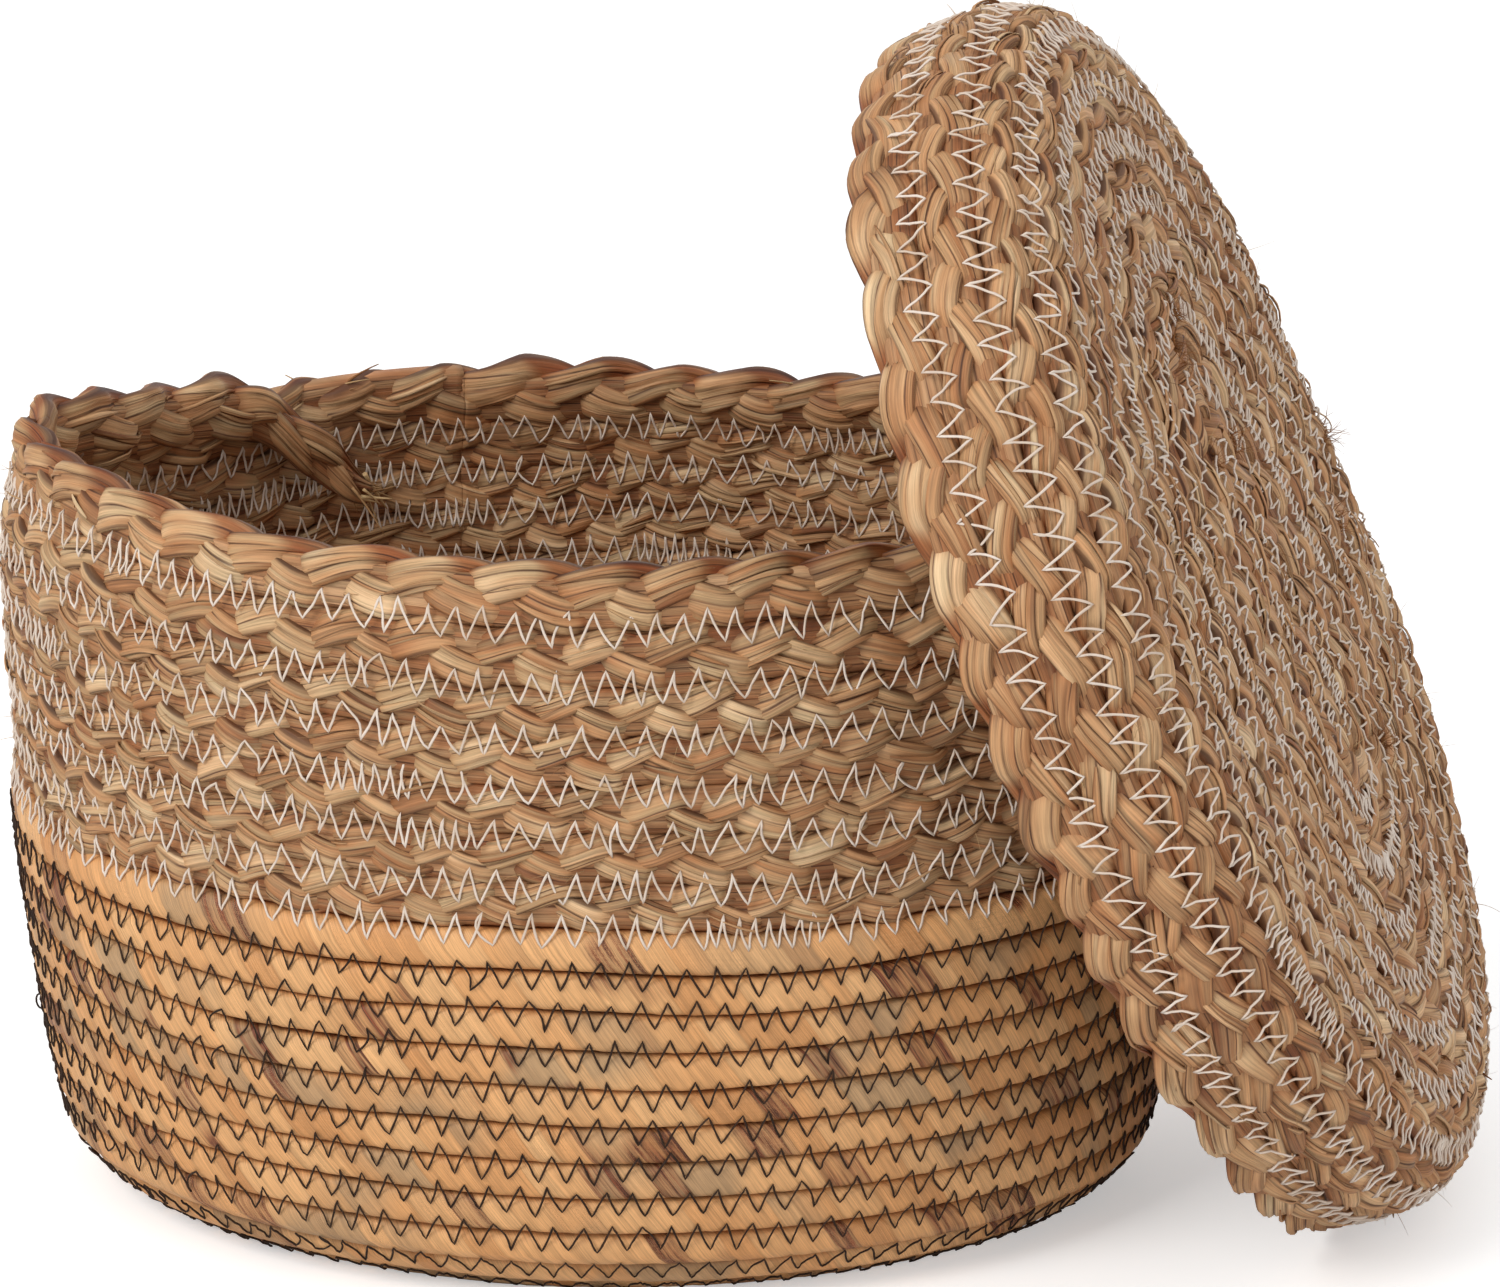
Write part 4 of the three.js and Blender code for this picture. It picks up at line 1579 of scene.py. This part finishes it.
@dataclass(frozen=True)
class ThreadFinish:
    """Spun sewing thread."""

    name: str
    colour: str
    worn: str

    def build(self, effects: Effects) -> bpy.types.Material:
        """Makes the material.

        Args:
            effects: the shared node groups.

        Returns:
            The material.
        """
        material, desk, surface = new_material(self.name)
        lay = desk.lay()
        grain = effects.fibres(desk, lay, length=0.9, width=0.3, detail=2.0)
        tone = desk.group(effects.drift, {"Lay": lay, "Reach": 60.0}).outputs["Tone"]
        desk.feed(
            surface,
            {
                "Base Color": desk.mix(tone, linear(self.colour), linear(self.worn)),
                "Roughness": 0.75,
                "Normal": desk.bump(grain, strength=0.6, distance=0.0002),
                "Specular IOR Level": 0.25,
            },
        )
        return material


@dataclass(frozen=True)
class StrawFinish:
    """Loose fibre and frayed ends."""

    name: str
    brown: str
    pale: str

    def build(self) -> bpy.types.Material:
        """Makes the material.

        Returns:
            The material.
        """
        material, desk, surface = new_material(self.name)
        key = desk.split(desk.lay())[2]
        random = desk.add("ShaderNodeTexWhiteNoise", {"W": key}, noise_dimensions="1D")
        colour = desk.ramp(random.outputs[0], ((0.0, self.brown), (1.0, self.pale)))
        desk.feed(surface, {"Base Color": colour, "Roughness": 0.7, "Specular IOR Level": 0.25})
        return material


@dataclass(frozen=True)
class Finishes:
    """The materials of the whole basket."""

    leaf: bpy.types.Material
    plait: bpy.types.Material
    lid: bpy.types.Material
    white: bpy.types.Material
    black: bpy.types.Material
    straw: bpy.types.Material
    tuft: bpy.types.Material


def make_finishes() -> Finishes:
    """Builds every material once.

    Returns:
        The materials.
    """
    effects = Effects()
    return Finishes(
        leaf=LeafFinish("Leaf-wrapped rope").build(effects),
        plait=PlaitFinish("Basket plait").build(effects),
        lid=PlaitFinish("Lid plait", green_share=0.25).build(effects),
        white=ThreadFinish("White thread", "e9ddd2", "cdb9a6").build(effects),
        black=ThreadFinish("Dark thread", "271b14", "3a281d").build(effects),
        straw=StrawFinish("Stray fibre", "8a5a33", "d8b988").build(),
        tuft=StrawFinish("Tuft", "6f4324", "b07a48").build(),
    )


def spiral_rows(turns: int, outer: float, pitch: float, height: float, thickness: float) -> list[Row]:
    """Rows of a flat spiral.

    Args:
        turns: how many turns it has.
        outer: offset of the outermost turn.
        pitch: from one turn to the next.
        height: height of its middle.
        thickness: its thickness.

    Returns:
        The rows, from one inside the first turn to the outermost.
    """
    return [(outer - pitch * (turns - 1 - turn), height, thickness) for turn in range(-1, turns)]


@dataclass(frozen=True)
class Basket:
    """The open basket: coiled floor, leaf-wrapped lower wall and plaited upper wall."""

    finishes: Finishes
    rim_half_length: float = 175.0
    rim_half_depth: float = 123.5
    power: float = 1.9  # squareness of the oval, 2 for a true ellipse
    end_rise: float = 14.0  # how much higher the rim stands at its ends
    rope_diameter: float = 12.06
    floor_turns: int = 8
    leaf_turns: int = 9
    heel_first_rise: float = 32.0  # degrees, from the floor's last turn up to the heel
    heel_second_rise: float = 49.0  # degrees, from the heel up to the first row of the wall
    leaf_foot_offset: float = -8.2
    leaf_top_offset: float = 6.5
    leaf_swell_power: float = 1.6  # how early the lower wall swells out
    plait_turns: int = 6
    plait_pitch: float = 15.0
    plait_thickness: float = 11.5
    plait_first_offset: float = 4.6
    plait_offset_step: float = 0.52
    plait_draw_power: float = 8.0  # how late the upper wall draws in to the rim
    rim_height: float = 19.5
    rim_thickness: float = 13.0
    tail_drop: float = 34.0
    joint_gap: float = 0.3
    start: float = 110.0  # degrees, from the right end to where the turns begin
    loop_mark: float = 358.2  # where the seam has a slack loop of thread
    blades_per_metre: float = 60.0
    fibres_a_row: int = 46
    rim_frays: tuple[tuple[float, float, int], ...] = (  # steps past the rim's start, length and number
        (-1.1, 15.0, 8),
        (3.1, 11.0, 4),
        (-3.4, 9.0, 3),
    )
    tail_fibres: int = 16

    @property
    def heel_row(self) -> int:
        """Number of the heel's row."""
        return self.floor_turns + 1

    @property
    def plait_row(self) -> int:
        """Number of the first plaited row."""
        return self.heel_row + self.leaf_turns + 1

    @property
    def rim_row(self) -> int:
        """Number of the rim's row."""
        return self.plait_row + self.plait_turns

    @property
    def bend(self) -> TailBend:
        """How the rim's tail is tucked in."""
        return TailBend(-self.rim_thickness - self.joint_gap, -self.tail_drop)

    def rows(self) -> Array:
        """Offset, height and thickness of each row, from the floor's middle to above the rim.

        Returns:
            An array with three values for each row.
        """
        first = math.radians(self.heel_first_rise)
        second = math.radians(self.heel_second_rise)
        rope = self.rope_diameter
        heel_offset = self.leaf_foot_offset - rope * math.cos(second)
        floor_offset = heel_offset - rope * math.cos(first)
        heel_height = rope / 2 + rope * math.sin(first)
        foot_height = heel_height + rope * math.sin(second)
        floor_pitch = (self.rim_half_depth + floor_offset) / self.floor_turns
        rows = spiral_rows(self.floor_turns, floor_offset, floor_pitch, rope / 2, rope)
        rows.append((heel_offset, heel_height, rope))
        for i in range(self.leaf_turns):
            left = (1.0 - i / (self.leaf_turns - 1)) ** self.leaf_swell_power
            offset = self.leaf_top_offset + (self.leaf_foot_offset - self.leaf_top_offset) * left
            rows.append((offset, foot_height + rope * i, rope))
        plait_foot = foot_height + rope * (self.leaf_turns - 0.5)
        full = self.plait_first_offset + self.plait_offset_step * self.plait_turns
        for i in range(self.plait_turns):
            drawn = full * ((i + 1) / (self.plait_turns + 1)) ** self.plait_draw_power
            offset = self.plait_first_offset + self.plait_offset_step * i - drawn
            rows.append((offset, plait_foot + self.plait_pitch * (i + 0.5), self.plait_thickness))
        rim = plait_foot + self.plait_pitch * self.plait_turns + self.rim_height / 2
        rows += [(0.0, rim + self.rim_height * i, self.rim_thickness) for i in range(ROWS_BEYOND + 1)]
        return np.array(rows)

    @cached_property
    def winding(self) -> Winding:
        """The winding of the whole basket.

        Returns:
            The winding.
        """
        rows = self.rows()
        settled = self.rim_half_depth + self.leaf_foot_offset - 2.0 * self.rope_diameter
        oval = Oval(self.rim_half_length, self.rim_half_depth, self.power, settled)
        rim_top = rows[self.rim_row][1] + self.rim_height / 2
        return Winding(oval, rows, math.radians(self.start), self.end_rise / rim_top, 1, Matrix.Identity(4))

    def build(self) -> None:
        """Makes and dresses every piece of the basket."""
        self._leaf_rows()
        self._plait_rows()
        self._sew()
        self._fray()

    def _leaf_rows(self) -> None:
        """Makes the floor and the lower wall."""
        rope = WrappedRope()
        spans: dict[str, Lay] = {
            "floor_core": CoreLay(self.winding),
            "floor_coil": RowLay(self.winding, TAPER_START, self.heel_row * STEPS),
            "heel_course": RowLay.of_turn(self.winding, self.heel_row),
        }
        for number in range(1, self.leaf_turns + 1):
            spans[f"leaf_course_{number}"] = RowLay.of_turn(self.winding, self.heel_row + number)
        for number, (node, lay) in enumerate(spans.items()):
            maker = MeshMaker()
            rope.wrap(maker, lay, Seed.ROPE + 7 * number)
            maker.dress(node, "rope", self.finishes.leaf, Body.BASKET)

    def _plait_rows(self) -> None:
        """Makes the upper wall, the rim and its tail."""
        plait = Plait()
        spans: dict[str, Lay] = {
            f"plait_course_{number + 1}": RowLay.of_turn(self.winding, self.plait_row + number)
            for number in range(self.plait_turns)
        }
        spans["rim_plait"] = RowLay.of_last(self.winding)
        spans["rim_plait_tail"] = RowLay.of_tail(self.winding, self.bend)
        for node, lay in spans.items():
            maker = MeshMaker()
            plait.weave(maker, lay, Seed.BASKET_PLAIT, node.endswith("_tail"), node.startswith("rim"))
            maker.dress(node, "strands", self.finishes.plait, Body.BASKET)
        maker = MeshMaker()
        for lay in spans.values():
            plait.blades(maker, lay, Seed.BASKET_PLAIT, self.blades_per_metre)
        maker.build("basket_loose_blades", self.finishes.plait, Body.BASKET)

    def _sew(self) -> None:
        """Sews the rows together."""
        dark = Stitching(
            pitch=7.9,
            height=9.0,
            radius=0.33,
            shape=RowShape.ROPE,
            unevenness=0.12,
            sunk=0.2,
            hook=0.15,
            sides=4,
        )
        white = Stitching(pitch=7.5, height=9.6, radius=0.39, crowding=0.14, unevenness=0.24)
        maker = MeshMaker()
        dark.sew_core(maker, self.winding, Seed.FLOOR_CORE_THREAD)
        dark.sew_rows(maker, self.winding, range(1, self.heel_row), Seed.BASKET_THREAD)
        maker.build("floor_stitching", self.finishes.black, Body.BASKET)
        maker = MeshMaker()
        wall = range(self.heel_row, self.plait_row - 1)
        seam = dark.sew_rows(maker, self.winding, wall, Seed.BASKET_THREAD)
        place = float(np.interp(self.loop_mark, self.winding.marks, self.winding.lengths))
        dark.loop(maker, seam, place, width=4.6, reach=2.6)
        maker.build("leaf_wall_stitching", self.finishes.black, Body.BASKET)
        maker = MeshMaker()
        white.sew_rows(maker, self.winding, range(self.plait_row - 1, self.rim_row), Seed.BASKET_THREAD)
        maker.build("plait_wall_stitching", self.finishes.white, Body.BASKET)

    def _fray(self) -> None:
        """Adds the stray fibres, and the straws at the rim's start and at the end of its tail."""
        maker = MeshMaker()
        stray = Straw(length=9.0, radius=0.11)
        lays = [RowLay.of_turn(self.winding, turn) for turn in range(self.plait_row, self.rim_row)]
        for turn, lay in enumerate([*lays, RowLay.of_last(self.winding)], start=self.plait_row):
            stray.scatter(maker, lay, self.fibres_a_row, 1.4, Seed.BASKET_FIBRE + turn)
        rng = np.random.default_rng(Seed.RIM_FRAY)
        for step, length, count in self.rim_frays:
            mark = np.array([self.rim_row * STEPS + step])
            offset, height, _ = self.winding.row_at(mark, 0)[0]
            root = self.winding.place(np.array([offset]), np.array([height + 5.0]), mark)[0]
            straw = Straw(length=length, radius=0.5, curl=0.3, sides=5)
            for _ in range(count):
                way = np.array([rng.normal() * 0.9, rng.normal() * 0.5, rng.uniform(0.1, 0.6)])
                straw.add(maker, root + rng.normal(size=3) * FRAY_SPREAD, way, rng)
        tail = RowLay.of_tail(self.winding, self.bend)
        end = np.array([tail.end - 4.0, tail.end])
        near, far = tail.to_space(end, np.zeros((2, 1)), np.zeros((2, 1)))[:, 0]
        straw = Straw(length=15.0, radius=0.7, curl=0.25, sides=5)
        for _ in range(self.tail_fibres):
            way = (far - near) / 4.0 + rng.normal(size=3) * 0.35
            straw.add(maker, near + rng.normal(size=3) * FRAY_SPREAD, way, rng)
        maker.build("basket_stray_fibres", self.finishes.straw, Body.BASKET)


@dataclass(frozen=True)
class Lid:
    """The plaited lid, leaning on the basket's right end."""

    finishes: Finishes
    basket: Basket
    power: float = 2.12  # squareness of the oval, 2 for a true ellipse
    top_turns: int = 7
    end_clearance: float = 6.0
    side_clearance: float = 9.5
    thickness: float = 12.0
    edge_height: float = 19.5
    skirt_depth: float = 43.4
    upper_depth: float = 24.4
    shoulder_depth: float = 11.7
    upper_offset: float = 1.1
    shoulder_offset: float = -4.5
    top_offset: float = -16.25
    tail_drop: float = 14.0
    azimuth: float = -12.9  # degrees, as the next three
    elevation: float = 21.4
    twist: float = -17.7
    start: float = -120.0
    place: tuple[float, float, float] = (206.70, -28.00, 201.38)
    top_blades_per_metre: float = 110.0
    skirt_blades_per_metre: float = 60.0
    top_fibres_a_row: int = 40
    skirt_fibres_a_row: int = 50
    end_mark: float = 20.3  # steps along the lower skirt row to the standing end of thread
    tufts: tuple[tuple[float, float, int, float], ...] = (  # place, number of fibres and their length
        (91.6, -20.4, 70, 6.0),
        (84.7, -7.7, 60, 6.0),
        (43.6, -21.6, 60, 5.5),
        (-32.2, -94.0, 46, 7.0),
        (-80.9, -36.5, 46, 6.5),
        (50.8, 1.9, 40, 5.0),
        (-14.0, -121.0, 46, 7.5),
    )

    @property
    def half_length(self) -> float:
        """Half length of the skirt's free row."""
        reach = (self.basket.rim_thickness + self.thickness) / 2
        return self.basket.rim_half_length + reach + self.end_clearance

    @property
    def half_depth(self) -> float:
        """Half depth of the skirt's free row."""
        reach = (self.basket.rim_thickness + self.thickness) / 2
        return self.basket.rim_half_depth + reach + self.side_clearance

    @property
    def shoulder_row(self) -> int:
        """Number of the shoulder's row."""
        return self.top_turns + 1

    def pose(self) -> Matrix:
        """Place of the leaning lid in the part.

        Returns:
            The matrix, in millimetres.
        """
        azimuth, elevation, twist = (math.radians(a) for a in (self.azimuth, self.elevation, self.twist))
        level = Vector((-math.sin(azimuth), math.cos(azimuth), 0.0))
        x, y = math.cos(azimuth) * math.cos(elevation), math.sin(azimuth) * math.cos(elevation)
        face = Vector((x, y, math.sin(elevation)))
        long = face.cross(level) * math.cos(twist) + level * math.sin(twist)
        pose = Matrix((long, face.cross(long), face)).transposed().to_4x4()
        pose.translation = Vector(self.place)
        return pose

    def rows(self) -> Array:
        """Offset, height and thickness of each row, from the top's middle to past the free edge.

        Returns:
            An array with three values for each row.
        """
        pitch = (self.half_depth + self.top_offset) / self.top_turns
        rows = spiral_rows(self.top_turns, self.top_offset, pitch, -self.thickness / 2, self.thickness)
        rows.append((self.shoulder_offset, -self.shoulder_depth, self.thickness))
        rows.append((self.upper_offset, -self.upper_depth, self.thickness))
        for i in range(ROWS_BEYOND + 1):
            rows.append((0.0, -self.skirt_depth - self.edge_height * i, self.thickness))
        return np.array(rows)

    @cached_property
    def winding(self) -> Winding:
        """The winding of the whole lid."""
        oval = Oval(self.half_length, self.half_depth, self.power, self.half_depth + self.top_offset)
        return Winding(oval, self.rows(), math.radians(self.start), 0.0, -1, self.pose())

    def build(self) -> None:
        """Makes and dresses every piece of the lid."""
        self._plaits()
        self._sew()
        self._fray()

    def _plaits(self) -> None:
        """Makes the top, the skirt and its tail."""
        bend = TailBend(-self.thickness - self.basket.joint_gap, self.tail_drop)
        last = RowLay.of_last(self.winding)
        tail = RowLay.of_tail(self.winding, bend)
        spans: dict[str, Lay] = {
            "lid_top_core": CoreLay(self.winding),
            "lid_top_coil": RowLay(self.winding, TAPER_START, self.shoulder_row * STEPS),
            "lid_shoulder_plait": RowLay.of_turn(self.winding, self.shoulder_row),
            "lid_skirt_plait_upper": RowLay.of_turn(self.winding, self.shoulder_row + 1),
            "lid_skirt_plait_lower": last,
            "lid_plait_tail": tail,
        }
        plait = Plait()
        for node, lay in spans.items():
            maker = MeshMaker()
            plait.weave(maker, lay, Seed.LID_PLAIT, lay is tail, lay in (last, tail))
            maker.dress(node, "strands", self.finishes.lid, Body.LID)
        maker = MeshMaker()
        for node, lay in spans.items():
            on_top = node.startswith("lid_top")
            count = self.top_blades_per_metre if on_top else self.skirt_blades_per_metre
            plait.blades(maker, lay, Seed.LID_PLAIT, count)
        maker.build("lid_loose_blades", self.finishes.lid, Body.LID)

    def _sew(self) -> None:
        """Sews the lid's rows together."""
        top = Stitching(
            pitch=6.6,
            height=10.0,
            radius=0.39,
            crowding=0.22,
            unevenness=0.3,
            sunk=0.8,
            looseness=2.0,
            hook=0.9,
        )
        skirt = Stitching(pitch=8.4, height=9.6, radius=0.40, hook=0.7)
        maker = MeshMaker()
        top.sew_core(maker, self.winding, Seed.LID_CORE_THREAD)
        top.sew_rows(maker, self.winding, range(1, self.shoulder_row), Seed.LID_THREAD)
        maker.build("lid_top_stitching", self.finishes.white, Body.LID)
        maker = MeshMaker()
        self._loose_end(maker)
        skirt.sew_rows(maker, self.winding, range(self.shoulder_row, self.shoulder_row + 2), Seed.LID_THREAD)
        maker.build("lid_skirt_stitching", self.finishes.white, Body.LID)

    def _loose_end(self, maker: MeshMaker) -> None:
        """Adds the end of thread that stands off the skirt near the lid's highest point.

        Args:
            maker: where it goes.
        """
        mark = np.array([(self.shoulder_row + 2) * STEPS + self.end_mark])
        offset, height = np.array([self.thickness / 2]), np.array([-self.skirt_depth + 9.0])
        root = self.winding.place(offset, height, mark)[0]
        rng = np.random.default_rng(Seed.LOOSE_END)
        for way in ((-0.55, 0.0, 1.0), (-1.0, 0.2, 0.35)):
            Straw(length=8.0, radius=0.34, curl=0.8, sides=5).add(maker, root, np.array(way), rng)

    def _fray(self) -> None:
        """Adds the stray fibres and tufts."""
        maker = MeshMaker()
        stray = Straw(length=9.0, radius=0.11)
        for turn in range(1, self.shoulder_row + 2):
            count = self.top_fibres_a_row if turn < self.shoulder_row else self.skirt_fibres_a_row
            stray.scatter(maker, RowLay.of_turn(self.winding, turn), count, 1.2, Seed.LID_FIBRE + turn)
        maker.build("lid_stray_fibres", self.finishes.straw, Body.LID)
        maker = MeshMaker()
        rng = np.random.default_rng(Seed.LID_TUFT)
        pose = np.array(self.pose())
        for x, y, count, length in self.tufts:
            straw = Straw(length=length, radius=0.16, curl=0.6)
            for _ in range(count):
                spread = rng.normal(size=2) * (2.2, 1.4)
                root = pose[:3, :3] @ np.array([x + spread[0], y + spread[1], -1.5]) + pose[:3, 3]
                way = pose[:3, :3] @ np.array([*(rng.normal(size=2) * 0.9), rng.uniform(0.5, 1.1)])
                straw.add(maker, root, way, rng)
        maker.build("lid_tufts", self.finishes.tuft, Body.LID)


@dataclass(frozen=True)
class Studio:
    """Pale floor, soft light and the camera."""

    eye: tuple[float, float, float] = (0.12058, -1.48707, 0.60886)  # metres
    yaw: float = -0.051  # radians, as the next two
    pitch: float = 0.284
    roll: float = 0.007
    lens: float = 120.26
    sensor: float = 36.0
    far: float = 30.0  # metres, how far the camera sees
    key_power: float = 48.0
    fill_power: float = 9.0
    sky: float = 0.68  # strength of the light from all around
    aim: tuple[float, float, float] = (0.05, 0.0, 0.15)  # metres, what the lamps look at
    floor_size: float = 8.0  # metres
    floor_glow: float = 0.42  # added for the camera alone, so that the floor looks white

    def camera(self) -> None:
        """Places the camera."""
        yaw, pitch = self.yaw, self.pitch
        ahead = Vector((math.sin(yaw) * math.cos(pitch), math.cos(yaw) * math.cos(pitch), -math.sin(pitch)))
        level = Vector((math.cos(yaw), -math.sin(yaw), 0.0))
        upright = level.cross(ahead)
        right = level * math.cos(self.roll) + upright * math.sin(self.roll)
        up = upright * math.cos(self.roll) - level * math.sin(self.roll)
        data = bpy.data.cameras.new("photo_camera")
        data.sensor_width = self.sensor
        data.lens = self.lens
        data.clip_end = self.far
        camera = bpy.data.objects.new("photo_camera", data)
        place = Matrix((right, up, -ahead)).transposed().to_4x4()
        place.translation = Vector(self.eye)
        camera.matrix_world = place
        bpy.context.scene.collection.objects.link(camera)
        bpy.context.scene.camera = camera

    def lamp(self, name: str, place: Sequence[float], size: float, power: float, colour: Row) -> None:
        """Adds a soft lamp that looks at the basket.

        Args:
            name: its name.
            place: where it stands, in metres.
            size: side of its square, in metres.
            power: its power, in watts.
            colour: its colour.
        """
        data = bpy.data.lights.new(name, "AREA")
        data.shape = "SQUARE"
        data.size = size
        data.energy = power
        data.color = colour
        lamp = bpy.data.objects.new(name, data)
        lamp.location = Vector(place)
        lamp.rotation_euler = (Vector(self.aim) - lamp.location).to_track_quat("-Z", "Y").to_euler()
        bpy.context.scene.collection.objects.link(lamp)

    def world(self) -> None:
        """Sets the even light from all around, white to the camera."""
        world = bpy.data.worlds.new("studio")
        world.use_nodes = True
        bpy.context.scene.world = world
        desk = NodeDesk(world.node_tree)
        path = desk.add("ShaderNodeLightPath")
        seen = desk.math("MAXIMUM", path.outputs["Is Camera Ray"], path.outputs["Is Glossy Ray"])
        seen = desk.math("MAXIMUM", seen, path.outputs["Is Transmission Ray"])
        strength = desk.math("MULTIPLY_ADD", seen, 1.0 - self.sky, self.sky)
        desk.feed(world.node_tree.nodes["Background"], {"Color": WHITE, "Strength": strength})

    def floor(self) -> None:
        """Adds the pale floor."""
        bpy.ops.mesh.primitive_plane_add(size=self.floor_size, location=(0.0, 0.0, 0.0))
        plane = bpy.context.active_object
        plane.name = "studio_floor"
        material, desk, surface = new_material("Pale floor")
        path = desk.add("ShaderNodeLightPath")
        desk.feed(
            surface,
            {
                "Base Color": (0.86, 0.86, 0.86, 1.0),
                "Roughness": 0.9,
                "Specular IOR Level": 0.0,
                "Emission Color": WHITE,
                "Emission Strength": desk.math("MULTIPLY", path.outputs["Is Camera Ray"], self.floor_glow),
            },
        )
        plane.data.materials.append(material)

    def build(self) -> None:
        """Sets up the whole studio."""
        self.camera()
        self.world()
        self.floor()
        self.lamp("key_lamp", (-1.5, -1.9, 2.1), 1.4, self.key_power, (1.0, 0.985, 0.96))
        self.lamp("fill_lamp", (2.0, -1.6, 1.4), 1.6, self.fill_power, (1.0, 1.0, 1.0))
        bpy.context.scene.view_settings.view_transform = "Standard"


def main() -> None:
    """Builds the studio, the basket and the lid."""
    logging.basicConfig(level=logging.INFO, format="%(message)s")
    Studio().build()
    finishes = make_finishes()
    basket = Basket(finishes)
    basket.build()
    Lid(finishes, basket).build()


if __name__ == "__main__":
    main()
